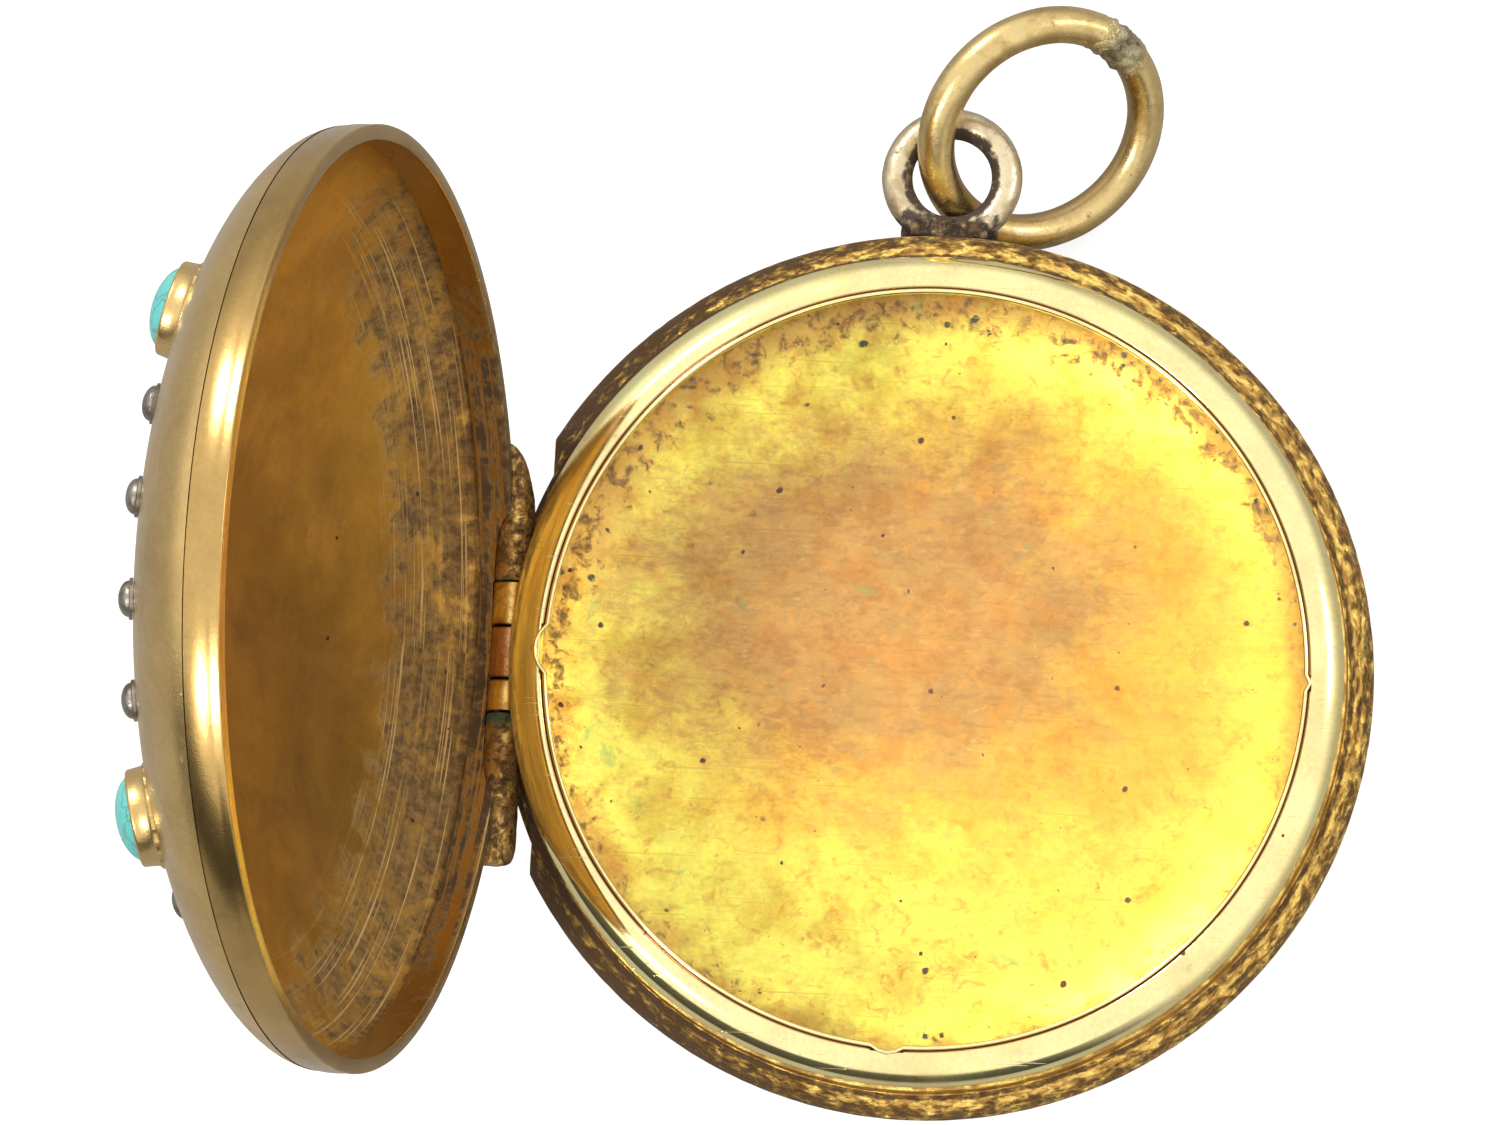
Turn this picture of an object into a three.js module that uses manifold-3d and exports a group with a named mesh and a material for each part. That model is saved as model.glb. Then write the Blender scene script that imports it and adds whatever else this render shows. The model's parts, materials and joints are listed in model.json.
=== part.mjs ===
// A round hinged picture locket, 22 mm across, lying open on its back.
//
// Frame: millimetres, +Z up. The origin is the centre of the back's flat face, which is what the locket
// rests on. +Y points to the bail and -X to the hinge. The front is drawn closed, in its own group, and
// that group is turned about the hinge axis to the angle at which the open locket stands.

import * as THREE from 'three';
import { mergeVertices } from 'three/addons/utils/BufferGeometryUtils.js';
import Module from 'manifold-3d';

const wasm = await Module();
wasm.setup();

// ---- Driving dimensions -------------------------------------------------------------------------

const OPEN_DEG = 99;            // how far the front stands open
const GAP = 0.02;               // hairline left at each soldered or seated joint
const RUNNING = 0.05;           // clearance around what turns
const OVERSHOOT = 1;            // how far a cutting shape runs past what it cuts

const CASE_R = 11.0;            // outside of the case, at the flange
const PARTING_Z = 3.15;         // plane where the back and the front meet
const REST_R = 8.0;             // flat that the locket rests on
const BACK_WALL_R = 10.7;       // outside of the back below the flange
const BACK_SHEET = 0.4;         // thickness of the back's sheet
const BACK_SHELL_TOP = 2.25;    // top edge of the stamped back

const SEAT_R = 9.74;            // inside of the rim, which holds the picture frame
const SNAP_R = 10.32;           // outside of the upright edge that the front snaps over
const SNAP_H = 0.5;             // how far that edge stands above the parting plane
const FLANGE_T = 0.35;          // thickness of the flange
const HINGE_BAY_W = 10.9;       // width of the flange cut away for the hinge
const HINGE_BAY_X = -9.55;      // how far in the flange is cut away
const HINGE_BAY_DEPTH = 0.72;   // how deep the bay goes below the parting plane

const FRAME_R = 10.39;          // outside of the picture frame's brim
const FRAME_BRIM_H = 0.8;       // top of the brim's edge above the parting plane
const FRAME_TOP_H = 1.62;       // crown of the frame
const FRAME_LIP_R = 9.24;       // opening of the lip that holds the glass
const FRAME_SKIRT_R = 9.7;      // skirt that pushes into the seat
const FRAME_SHEET = 0.2;        // thickness of the skirt
const FRAME_SKIRT_DEPTH = 0.55; // how far the skirt goes below the parting plane
const PRISE_R = 0.55;           // half-round in the lip for prising the frame out
const PRISE_BITE = 0.25;        // depth of that half-round
const NICK = 0.09;              // depth of the two small nicks in the lip

const GLASS_R = 9.45;
const GLASS_T = 0.45;

const HINGE_X = -10.4;          // hinge axis, which lies in the parting plane
const KNUCKLE_R = 0.47;
const PIN_R = 0.18;
const PIN_BORE_R = 0.21;
const BEARING_END = 5.3;        // outer end of each bearing
const BEARING_START = 1.8;      // edge of the notch for the knuckles
const WEB_BACK = 0.2;           // the bearing's web starts this far behind the axis
const WEB_REACH = 1.2;          // and reaches this far towards the front's rim, which it is cut to
const WEB_H = 0.42;             // thickness of the web above the parting plane
const KNUCKLES = {
    knuckle_back_upper: [0.67, 1.76],
    knuckle_back_lower: [-1.46, -0.67],
    knuckle_front: [-0.65, 0.65],
};

const FRONT_RIM_R = 10.87;      // outside of the front's rim
const FRONT_RIM_BORE = 10.5;    // inside of the front's rim, which snaps over the edge
const FRONT_RIM_H = 0.85;       // depth of the front's rim
const DOME_R = 10.9;            // outside of the dome at its widest
const DOME_START = 0.6;         // height above the parting plane where the dome begins to curve
const DOME_H = 3.85;            // rise of the dome
const DOME_POWER = 0.6;         // fullness of the dome: 0.5 is an ellipse, 1 a cone
const DOME_SHEET = 0.2;         // thickness of the dome's sheet

const TURQUOISE_R = 0.95;
const TURQUOISE_RING = 7.9;     // pitch radius of the four outer stones
const BEAD_R = 0.45;
const BEAD_RING = 8.0;          // pitch radius of the beads between them
const BEADS_PER_QUARTER = 4;
const BEAD_STEP_DEG = 16;

const BAIL_Y = 12.555;          // centre of the bail's loop
const BAIL_DROP = 0.45;         // how far that centre lies below the parting plane
const BAIL_R = 1.36;            // mean radius of the loop
const BAIL_WIRE_R = 0.405;
const BAIL_FOOT_W = 2.4;        // width of the solder foot

const RING_R = 2.85;            // mean radius of the jump ring
const RING_WIRE_R = 0.467;
const RING_CENTRE = [2.167, 13.93, PARTING_Z - 0.65];
const RING_NORMAL = [0.43, -0.555, 0.712];

const ROUND = 60;               // facets round the case
const SMALL_ROUND = 20;         // facets round hinge parts and settings
const STONE_ROUND = 16;
const BEAD_ROUND = 10;

// ---- Finishes -----------------------------------------------------------------------------------

const finish = (name, colour, roughness, metalness) =>
    new THREE.MeshStandardMaterial({ name, color: colour, roughness, metalness });

const WORN_GOLD = finish('worn_gold', 0xb0873f, 0.45, 1);
const BRIGHT_GOLD = finish('bright_gold', 0xe8cf8a, 0.12, 1);
const INNER_GOLD = finish('inner_gold', 0xd9a83a, 0.4, 1);
const OUTER_GOLD = finish('outer_gold', 0xd3ae6c, 0.25, 1);
const PALE_GOLD = finish('pale_gold', 0xc9b48e, 0.35, 1);
const RING_GOLD = finish('ring_gold', 0xc2a35e, 0.3, 1);
const DARK_BEAD = finish('dark_bead', 0x6e675c, 0.4, 1);
const TURQUOISE = finish('turquoise', 0x5ab8ad, 0.35, 0);
const GLASS = finish('glass', 0xeef2ee, 0.05, 0);

// ---- Solids: closed geometries, and cutting and joining them ----------------------------------------

function toSolid(geometry) {
    const bare = geometry.clone();
    bare.deleteAttribute('normal');
    bare.deleteAttribute('uv');
    const welded = mergeVertices(bare, 1e-5);
    const mesh = new wasm.Mesh({
        numProp: 3,
        vertProperties: new Float32Array(welded.attributes.position.array),
        triVerts: new Uint32Array(welded.index.array),
    });
    return new wasm.Manifold(mesh);
}

function toGeometry(solid) {
    const mesh = solid.getMesh();
    const geometry = new THREE.BufferGeometry();
    geometry.setAttribute('position', new THREE.BufferAttribute(new Float32Array(mesh.vertProperties), 3));
    geometry.setIndex(new THREE.BufferAttribute(new Uint32Array(mesh.triVerts), 1));
    geometry.computeVertexNormals();
    return geometry;
}

function cut(geometry, ...cutters) {
    let solid = toSolid(geometry);
    for (const cutter of cutters) {
        solid = solid.subtract(toSolid(cutter));
    }
    return toGeometry(solid);
}

function join(geometry, ...others) {
    let solid = toSolid(geometry);
    for (const other of others) {
        solid = solid.add(toSolid(other));
    }
    return toGeometry(solid);
}

// A solid of revolution about Z from [radius, height] pairs.
function revolve(profile, segments = ROUND) {
    const points = profile.map(([radius, height]) => new THREE.Vector2(radius, height));
    const geometry = new THREE.LatheGeometry(points, segments);
    geometry.rotateX(Math.PI / 2);
    return geometry;
}

// A revolved ring: its section is closed on itself.
function revolveRing(section, segments = ROUND) {
    return revolve([...section, section[0]], segments);
}

function discBetween(radius, low, high, segments = ROUND) {
    return revolve([[0, low], [radius, low], [radius, high], [0, high]], segments);
}

// A rod along Y, centred on the line x = x, z = z.
function rodAlongY(radius, from, to, x, z, segments = SMALL_ROUND) {
    const geometry = new THREE.CylinderGeometry(radius, radius, to - from, segments);
    geometry.translate(x, (from + to) / 2, z);
    return geometry;
}

function boxBetween([x0, y0, z0], [x1, y1, z1]) {
    const geometry = new THREE.BoxGeometry(x1 - x0, y1 - y0, z1 - z0);
    geometry.translate((x0 + x1) / 2, (y0 + y1) / 2, (z0 + z1) / 2);
    return geometry;
}

// Points on a quarter of an ellipse, from its flat end to its upright end.
function quarterCurve(r0, r1, z0, z1, steps) {
    const points = [];
    for (let i = 0; i <= steps; i++) {
        const angle = (i / steps) * Math.PI / 2;
        points.push([r0 + (r1 - r0) * Math.sin(angle), z0 + (z1 - z0) * (1 - Math.cos(angle))]);
    }
    return points;
}

function named(name, geometry, material) {
    const mesh = new THREE.Mesh(geometry, material);
    mesh.name = name;
    return mesh;
}

// ---- Back ---------------------------------------------------------------------------------------

function makeBackShell() {
    const outside = quarterCurve(REST_R, BACK_WALL_R, 0, BACK_SHELL_TOP, 6);
    const inside = quarterCurve(REST_R - 0.1, BACK_WALL_R - BACK_SHEET, BACK_SHEET, BACK_SHELL_TOP, 6);
    const profile = [[0, 0], ...outside, ...inside.reverse(), [0, BACK_SHEET]];
    return named('back_shell', revolve(profile), INNER_GOLD);
}

function makeBackRim() {
    const bottom = BACK_SHELL_TOP + GAP;
    const top = PARTING_Z + SNAP_H;
    const bevel = 0.08;
    const ring = revolveRing([
        [SEAT_R, bottom],
        [BACK_WALL_R, bottom],
        [BACK_WALL_R, PARTING_Z - FLANGE_T],
        [CASE_R, PARTING_Z - FLANGE_T + bevel],
        [CASE_R, PARTING_Z],
        [SNAP_R, PARTING_Z],
        [SNAP_R, top - bevel],
        [SNAP_R - bevel, top],
        [SEAT_R, top],
    ]);
    const half = HINGE_BAY_W / 2;
    const bayFloor = PARTING_Z - HINGE_BAY_DEPTH;
    const bay = cut(
        boxBetween([-CASE_R - OVERSHOOT, -half, bayFloor], [HINGE_BAY_X, half, top + OVERSHOOT]),
        discBetween(SNAP_R + GAP, bayFloor - OVERSHOOT, top + 2 * OVERSHOOT),
    );
    const outboard = boxBetween([-CASE_R - OVERSHOOT, -half, bayFloor], [HINGE_X, half, top + OVERSHOOT]);
    const trough = rodAlongY(KNUCKLE_R + RUNNING, -half, half, HINGE_X, PARTING_Z, 28);
    return named('back_rim', cut(ring, bay, outboard, trough), WORN_GOLD);
}

// ---- Picture frame and its glass -----------------------------------------------------------------

function makePictureFrame() {
    const crown = [];
    const crownSteps = 6;
    const crownInner = FRAME_LIP_R + 0.2;
    for (let i = 0; i <= crownSteps; i++) {
        const angle = (i / crownSteps) * Math.PI / 2;
        crown.push([
            crownInner + (FRAME_R - crownInner) * Math.sin(angle),
            PARTING_Z + FRAME_BRIM_H + (FRAME_TOP_H - FRAME_BRIM_H) * Math.cos(angle),
        ]);
    }
    const underLip = PARTING_Z + FRAME_TOP_H - FRAME_SHEET;
    const brimFloor = PARTING_Z + SNAP_H + 2 * GAP;
    const skirtFoot = PARTING_Z - FRAME_SKIRT_DEPTH;
    const skirtBore = FRAME_SKIRT_R - FRAME_SHEET;
    const ring = revolveRing([
        [skirtBore, skirtFoot],
        [FRAME_SKIRT_R, skirtFoot],
        [FRAME_SKIRT_R, brimFloor],
        [FRAME_R, brimFloor],
        ...crown.reverse(),
        [FRAME_LIP_R + 0.07, PARTING_Z + FRAME_TOP_H + 0.03],
        [FRAME_LIP_R, PARTING_Z + FRAME_TOP_H - 0.04],
        [FRAME_LIP_R, underLip],
        [skirtBore, underLip],
    ]);
    const low = underLip - GAP;
    const high = PARTING_Z + FRAME_TOP_H + OVERSHOOT;
    const prise = discBetween(PRISE_R, low, high, STONE_ROUND);
    prise.translate(-FRAME_LIP_R - PRISE_BITE + PRISE_R, 0, 0);
    const nickAt = (degrees) => {
        const nick = new THREE.CylinderGeometry(3 * NICK, 3 * NICK, high - low, 4);
        nick.rotateX(Math.PI / 2);
        nick.translate(FRAME_LIP_R - 2 * NICK, 0, (low + high) / 2);
        nick.rotateZ(degrees * Math.PI / 180);
        return nick;
    };
    return named('picture_frame', cut(ring, prise, nickAt(0), nickAt(-93)), BRIGHT_GOLD);
}

function makeGlass() {
    const top = PARTING_Z + FRAME_TOP_H - FRAME_SHEET - GAP;
    const bottom = top - GLASS_T;
    const edge = 0.08;
    const profile = [
        [0, bottom],
        [GLASS_R - edge, bottom],
        [GLASS_R, bottom + edge],
        [GLASS_R, top - edge],
        [GLASS_R - edge, top],
        [0, top],
    ];
    return named('glass', revolve(profile), GLASS);
}

// ---- Hinge. Pieces of the front are drawn shut, about an axis at x = 0, z = 0 -------------------------

function makeKnuckle(name, axisX, axisZ, material) {
    const [from, to] = KNUCKLES[name];
    const bore = rodAlongY(PIN_BORE_R, from - OVERSHOOT, to + OVERSHOOT, axisX, axisZ, 12);
    return named(name, cut(rodAlongY(KNUCKLE_R, from, to, axisX, axisZ), bore), material);
}

function makeHingePin() {
    const from = KNUCKLES.knuckle_back_lower[0] - GAP;
    const to = KNUCKLES.knuckle_back_upper[1] + GAP;
    return named('hinge_pin', rodAlongY(PIN_R, from, to, HINGE_X, PARTING_Z, 12), WORN_GOLD);
}

// A bearing is a bar on the hinge axis with a web that fills in to the front's rim.
function makeBearing(name, from, to) {
    const web = cut(
        boxBetween([-WEB_BACK, from, GAP], [WEB_REACH, to, WEB_H]),
        centredOnCase(discBetween(FRONT_RIM_R + GAP, -OVERSHOOT, OVERSHOOT)),
    );
    return named(name, join(rodAlongY(KNUCKLE_R, from, to, 0, 0), web), WORN_GOLD);
}

// ---- Front, drawn shut about the same axis ------------------------------------------------------------

function centredOnCase(geometry) {
    geometry.translate(-HINGE_X, 0, 0);
    return geometry;
}

function domeRadius(height, radius, rise) {
    const share = (height - DOME_START) / rise;
    return radius * Math.pow(Math.max(0, 1 - share * share), DOME_POWER);
}

function domeHeight(radius) {
    const share = Math.pow(radius / DOME_R, 1 / DOME_POWER);
    return DOME_START + DOME_H * Math.sqrt(Math.max(0, 1 - share));
}

function domeCurve(radius, rise, start, steps) {
    const points = [];
    const first = Math.asin((start - DOME_START) / rise);
    for (let i = 0; i < steps; i++) {
        const angle = first + (i / steps) * (Math.PI / 2 - first);
        const height = DOME_START + rise * Math.sin(angle);
        points.push([domeRadius(height, radius, rise), height]);
    }
    points.push([0, DOME_START + rise]);
    return points;
}

function makeFrontDome() {
    const start = FRONT_RIM_H + GAP;
    const outside = domeCurve(DOME_R, DOME_H, start, 8);
    const inside = domeCurve(DOME_R - DOME_SHEET, DOME_H - DOME_SHEET, start, 8);
    const profile = [...inside.reverse(), ...outside];
    return named('front_dome', centredOnCase(revolve(profile)), OUTER_GOLD);
}

function makeFrontRim() {
    const ring = centredOnCase(revolveRing([
        [FRONT_RIM_BORE, GAP],
        [FRONT_RIM_R, GAP],
        [FRONT_RIM_R, FRONT_RIM_H],
        [FRONT_RIM_BORE, FRONT_RIM_H],
    ]));
    const clearBearings = rodAlongY(KNUCKLE_R + GAP, -BEARING_END - GAP, BEARING_END + GAP, 0, 0, 28);
    const [frontFrom, frontTo] = KNUCKLES.knuckle_front;
    const clearUpper = rodAlongY(KNUCKLE_R + RUNNING, frontTo, BEARING_START, 0, 0, 28);
    const clearLower = rodAlongY(KNUCKLE_R + RUNNING, -BEARING_START, frontFrom, 0, 0, 28);
    return named('front_rim', cut(ring, clearBearings, clearUpper, clearLower), WORN_GOLD);
}

// ---- Ornament on the dome ---------------------------------------------------------------------------

// Stands a piece, drawn about Z from its seat at z = 0, upright on the dome's surface.
function standOnDome(geometry, pitchRadius, degrees) {
    const step = 0.01;
    const slope = pitchRadius > step
        ? (domeHeight(pitchRadius + step) - domeHeight(pitchRadius - step)) / (2 * step)
        : 0;
    geometry.rotateY(-Math.atan(slope));
    geometry.translate(pitchRadius, 0, domeHeight(pitchRadius));
    geometry.rotateZ(degrees * Math.PI / 180);
    return centredOnCase(geometry);
}

function domeBlank() {
    const lift = GAP;
    const outside = domeCurve(DOME_R + lift, DOME_H + lift, DOME_START, 8);
    return centredOnCase(revolve([[0, -OVERSHOOT], [DOME_R + lift, -OVERSHOOT], ...outside]));
}

function makeCollet(name, pitchRadius, degrees) {
    const wall = 0.15;
    const bore = TURQUOISE_R + GAP;
    const ledge = 0.16;
    const section = [
        [bore - wall, -0.35],
        [bore + wall + 0.06, -0.35],
        [bore + wall, 0.4],
        [bore, 0.44],
        [bore, ledge],
        [bore - wall, ledge],
    ];
    const collet = standOnDome(revolveRing(section, SMALL_ROUND), pitchRadius, degrees);
    return named(name, cut(collet, domeBlank()), OUTER_GOLD);
}

function makeTurquoise(name, pitchRadius, degrees) {
    const seat = 0.18;
    const girdle = 0.4;
    const crown = 0.85;
    const profile = [[0, seat], [TURQUOISE_R, seat], [TURQUOISE_R, girdle]];
    const steps = 4;
    for (let i = 1; i <= steps; i++) {
        const angle = (i / steps) * Math.PI / 2;
        profile.push([TURQUOISE_R * Math.cos(angle), girdle + (crown - girdle) * Math.sin(angle)]);
    }
    profile[profile.length - 1][0] = 0;
    return named(name, standOnDome(revolve(profile, STONE_ROUND), pitchRadius, degrees), TURQUOISE);
}

function makeBead(name, degrees) {
    const rise = 0.32;
    const profile = [[0, 0.06], [BEAD_R, 0.06], [BEAD_R * 0.94, 0.6 * rise], [BEAD_R * 0.6, 0.92 * rise], [0, rise]];
    return named(name, standOnDome(revolve(profile, BEAD_ROUND), BEAD_RING, degrees), DARK_BEAD);
}

// ---- Bail and jump ring -------------------------------------------------------------------------------

function makeBailLoop() {
    const loop = new THREE.TorusGeometry(BAIL_R, BAIL_WIRE_R, 10, 32);
    loop.translate(0, BAIL_Y, PARTING_Z - BAIL_DROP);
    return named('bail_loop', cut(loop, discBetween(CASE_R + GAP, 0, 2 * PARTING_Z)), PALE_GOLD);
}

function makeBailFoot() {
    const z = PARTING_Z - BAIL_DROP;
    const half = BAIL_FOOT_W / 2;
    const block = boxBetween([-half, BACK_WALL_R - 0.4, z - 0.5], [half, BAIL_Y - BAIL_R, PARTING_Z - FLANGE_T - GAP]);
    const loop = new THREE.TorusGeometry(BAIL_R, BAIL_WIRE_R + GAP, 10, 32);
    loop.translate(0, BAIL_Y, z);
    return named('bail_foot', cut(block, loop, discBetween(BACK_WALL_R + GAP, 0, PARTING_Z)), PALE_GOLD);
}

function makeJumpRing() {
    const mesh = named('jump_ring', new THREE.TorusGeometry(RING_R, RING_WIRE_R, 10, 44), RING_GOLD);
    const normal = new THREE.Vector3(...RING_NORMAL).normalize();
    mesh.quaternion.setFromUnitVectors(new THREE.Vector3(0, 0, 1), normal);
    mesh.position.set(...RING_CENTRE);
    return mesh;
}

// ---- Assembly ------------------------------------------------------------------------------------------

const back = new THREE.Group();
back.add(makeBackShell(), makeBackRim(), makePictureFrame(), makeGlass());
back.add(makeKnuckle('knuckle_back_upper', HINGE_X, PARTING_Z, WORN_GOLD));
back.add(makeKnuckle('knuckle_back_lower', HINGE_X, PARTING_Z, WORN_GOLD));
back.add(makeHingePin(), makeBailFoot(), makeBailLoop(), makeJumpRing());

const front = new THREE.Group();
front.position.set(HINGE_X, 0, PARTING_Z);
front.rotation.y = -OPEN_DEG * Math.PI / 180;
front.add(makeFrontDome(), makeFrontRim());
front.add(makeBearing('bearing_upper', BEARING_START, BEARING_END));
front.add(makeBearing('bearing_lower', -BEARING_END, -BEARING_START));
front.add(makeKnuckle('knuckle_front', 0, 0, WORN_GOLD));

const STONES = [['centre', 0, 0]];
for (let i = 0; i < 4; i++) {
    STONES.push([`${i + 1}`, TURQUOISE_RING, 45 + 90 * i]);
}
for (const [label, pitchRadius, degrees] of STONES) {
    front.add(makeCollet(`collet_${label}`, pitchRadius, degrees));
    front.add(makeTurquoise(`turquoise_${label}`, pitchRadius, degrees));
}
for (let quarter = 0; quarter < 4; quarter++) {
    for (let i = 0; i < BEADS_PER_QUARTER; i++) {
        const degrees = 90 * quarter + (i - (BEADS_PER_QUARTER - 1) / 2) * BEAD_STEP_DEG;
        front.add(makeBead(`bead_${quarter * BEADS_PER_QUARTER + i + 1}`, degrees));
    }
}

const group = new THREE.Group();
group.add(back, front);
export default group;
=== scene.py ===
"""An open round picture locket: the looks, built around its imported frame.

Lengths are in metres, in the frame's own axes: the back lies in XY, +Z comes up out of it, +Y points to the
bail and -X to the hinge. Pieces of the front are drawn shut and then turned open about the hinge.
"""

import json
import math

import bpy
from mathutils import Matrix, Vector


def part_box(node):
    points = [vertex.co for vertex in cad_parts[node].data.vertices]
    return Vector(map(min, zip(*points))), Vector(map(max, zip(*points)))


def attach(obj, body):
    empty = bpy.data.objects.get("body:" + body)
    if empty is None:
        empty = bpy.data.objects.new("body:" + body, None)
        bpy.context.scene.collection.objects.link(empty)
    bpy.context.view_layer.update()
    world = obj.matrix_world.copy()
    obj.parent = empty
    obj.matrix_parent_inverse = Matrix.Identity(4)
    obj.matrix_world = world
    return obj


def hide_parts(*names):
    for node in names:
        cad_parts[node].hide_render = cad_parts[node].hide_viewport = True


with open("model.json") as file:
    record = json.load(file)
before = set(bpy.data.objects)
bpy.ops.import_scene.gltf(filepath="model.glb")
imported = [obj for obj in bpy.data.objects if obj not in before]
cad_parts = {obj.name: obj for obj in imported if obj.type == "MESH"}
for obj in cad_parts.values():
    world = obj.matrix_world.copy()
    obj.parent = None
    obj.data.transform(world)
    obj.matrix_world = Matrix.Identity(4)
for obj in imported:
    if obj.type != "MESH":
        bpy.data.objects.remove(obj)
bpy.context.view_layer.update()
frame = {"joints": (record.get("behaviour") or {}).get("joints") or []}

MM = 0.001
WELD = 1e-7                     # points closer than this are one point
ROUND_STEPS = 192               # facets round the case
RIM_STEPS = 288                 # facets round the worn rims and the picture frame
CUTTER_STEPS = 144              # facets round the discs that cut other pieces
SMALL_STEPS = 48                # facets round hinge parts and settings

# ---- Measures, from the frame --------------------------------------------------------------------

HINGE = next(j for j in frame["joints"] if j["name"] == "front_hinge")
HINGE_AXIS = Vector(HINGE["pos_m"])
OPEN_ANGLE = math.radians(-HINGE["range_deg"][0])
PARTING_Z = HINGE_AXIS.z

CASE_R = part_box("back_rim")[1].y
RIM_FOOT_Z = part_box("back_rim")[0].z
SNAP_TOP_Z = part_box("back_rim")[1].z
SHELL_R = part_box("back_shell")[1].x
SHELL_TOP_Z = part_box("back_shell")[1].z
FRAME_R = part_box("picture_frame")[1].x
FRAME_FOOT_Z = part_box("picture_frame")[0].z
FRAME_TOP_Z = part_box("picture_frame")[1].z
GLASS_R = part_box("glass")[1].x
GLASS_LOW_Z, GLASS_TOP_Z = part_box("glass")[0].z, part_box("glass")[1].z
FRONT_RIM_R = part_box("front_rim")[1].y
DOME_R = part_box("front_dome")[1].y
KNUCKLE_R = (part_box("knuckle_front")[1].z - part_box("knuckle_front")[0].z) / 2
PIN_R = (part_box("hinge_pin")[1].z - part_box("hinge_pin")[0].z) / 2

LOOP_LOW, LOOP_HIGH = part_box("bail_loop")
LOOP_WIRE_R = (LOOP_HIGH.z - LOOP_LOW.z) / 2
LOOP_R = (LOOP_HIGH.x - LOOP_LOW.x) / 2 - LOOP_WIRE_R
LOOP_CENTRE = Vector((0, LOOP_HIGH.y - LOOP_R - LOOP_WIRE_R, (LOOP_LOW.z + LOOP_HIGH.z) / 2))
RING_LOW, RING_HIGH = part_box("jump_ring")
RING_CENTRE = (RING_LOW + RING_HIGH) / 2
RING_NORMAL = Vector((0.43, -0.555, 0.712)).normalized()
RING_SEAM = RING_CENTRE + Vector((1.75, 2.1, 0.58)) * MM

# The outline of the turned pieces, which the frame's boxes don't give
REST_R = 8.0 * MM
BACK_SHEET = 0.4 * MM
SEAT_R = 9.74 * MM
SNAP_R = 10.32 * MM
FLANGE_T = 0.35 * MM
LIP_R = 9.24 * MM
SKIRT_R = 9.7 * MM
SHEET = 0.2 * MM
FRONT_RIM_BORE = 10.5 * MM
FRONT_RIM_H = 0.85 * MM
DOME_START = 0.6 * MM
DOME_RISE = 3.85 * MM
DOME_POWER = 0.6
HAIRLINE = 0.02 * MM            # the gap between pieces that only touch
STONE_RING = 7.9 * MM
BEAD_RING = 8.0 * MM
BEADS = 16
BEAD_SPACING = 16               # degrees between neighbouring beads
BAY_HALF = 5.45 * MM            # half the length of the hinge's bay
BAY_INNER_X = -9.55 * MM
BAY_DEPTH = 0.72 * MM
TROUGH_GAP = 0.05 * MM
BEARING_END = 5.3 * MM
UPPER_BEARING_START = 1.8 * MM
LOWER_BEARING_START = 1.5 * MM
FRONT_KNUCKLE_END = 0.65 * MM
JUMP_RING_R = 2.85 * MM
JUMP_WIRE_R = 0.467 * MM


# ---- Bench tools: small helpers for modelling ----------------------------------------------------

def only(piece):
    """Selects one piece and nothing else."""
    bpy.ops.object.select_all(action="DESELECT")
    piece.select_set(True)
    bpy.context.view_layer.objects.active = piece
    return piece


def edit(piece, selected=None):
    """Opens a piece in edit mode with the points that pass the test selected, or all of them."""
    only(piece)
    if selected is not None:
        for point in piece.data.vertices:
            point.select = bool(selected(point.co))
        for edge in piece.data.edges:
            edge.select = all(piece.data.vertices[i].select for i in edge.vertices)
        for face in piece.data.polygons:
            face.select = all(piece.data.vertices[i].select for i in face.vertices)
    bpy.ops.object.mode_set(mode="EDIT")
    bpy.ops.mesh.select_mode(type="VERT")
    if selected is None:
        bpy.ops.mesh.select_all(action="SELECT")


def close_edit():
    bpy.ops.object.mode_set(mode="OBJECT")


def named(name):
    """Names the primitive just added, and applies its place and turn."""
    piece = bpy.context.object
    piece.name = name
    bpy.ops.object.transform_apply(location=True, rotation=True, scale=True)
    return piece


def draw_line(name, outline):
    """A line of points in the XZ plane: one point, extruded along the outline."""
    bpy.ops.object.select_all(action="DESELECT")
    bpy.ops.mesh.primitive_plane_add(size=MM, location=(0, 0, 0))
    piece = named(name)
    edit(piece)
    bpy.ops.mesh.merge(type="CENTER")
    bpy.ops.transform.translate(value=(outline[0][0], 0, outline[0][1]))
    for (r0, z0), (r1, z1) in zip(outline, outline[1:]):
        bpy.ops.mesh.extrude_region_move(TRANSFORM_OT_translate={"value": (r1 - r0, 0, z1 - z0)})
    close_edit()
    return piece


def turned(name, outline, steps=ROUND_STEPS):
    """A piece turned on a lathe about Z: an outline that starts and ends on the axis, or a closed section."""
    piece = draw_line(name, outline)
    edit(piece)
    bpy.ops.mesh.spin(steps=steps, angle=2 * math.pi, center=(0, 0, 0), axis=(0, 0, 1))
    bpy.ops.mesh.select_all(action="SELECT")
    bpy.ops.mesh.remove_doubles(threshold=WELD)
    bpy.ops.mesh.normals_make_consistent(inside=False)
    close_edit()
    return piece


def place(piece, matrix):
    """Moves a finished piece and applies the move, so that its place is in its mesh."""
    only(piece)
    piece.matrix_world = matrix @ piece.matrix_world
    bpy.context.view_layer.update()
    bpy.ops.object.transform_apply(location=True, rotation=True, scale=True)
    return piece


def modify(piece, kind, **settings):
    """Adds one modifier and applies it."""
    only(piece)
    modifier = piece.modifiers.new(kind.lower(), kind)
    for key, value in settings.items():
        setattr(modifier, key, value)
    bpy.ops.object.modifier_apply(modifier=modifier.name)
    return piece


def cut_away(piece, cutter, operation="DIFFERENCE"):
    """Cuts one piece out of another, or joins the two, and uses the second one up."""
    modify(piece, "BOOLEAN", operation=operation, solver="EXACT", object=cutter)
    bpy.data.objects.remove(cutter)
    return piece


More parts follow.
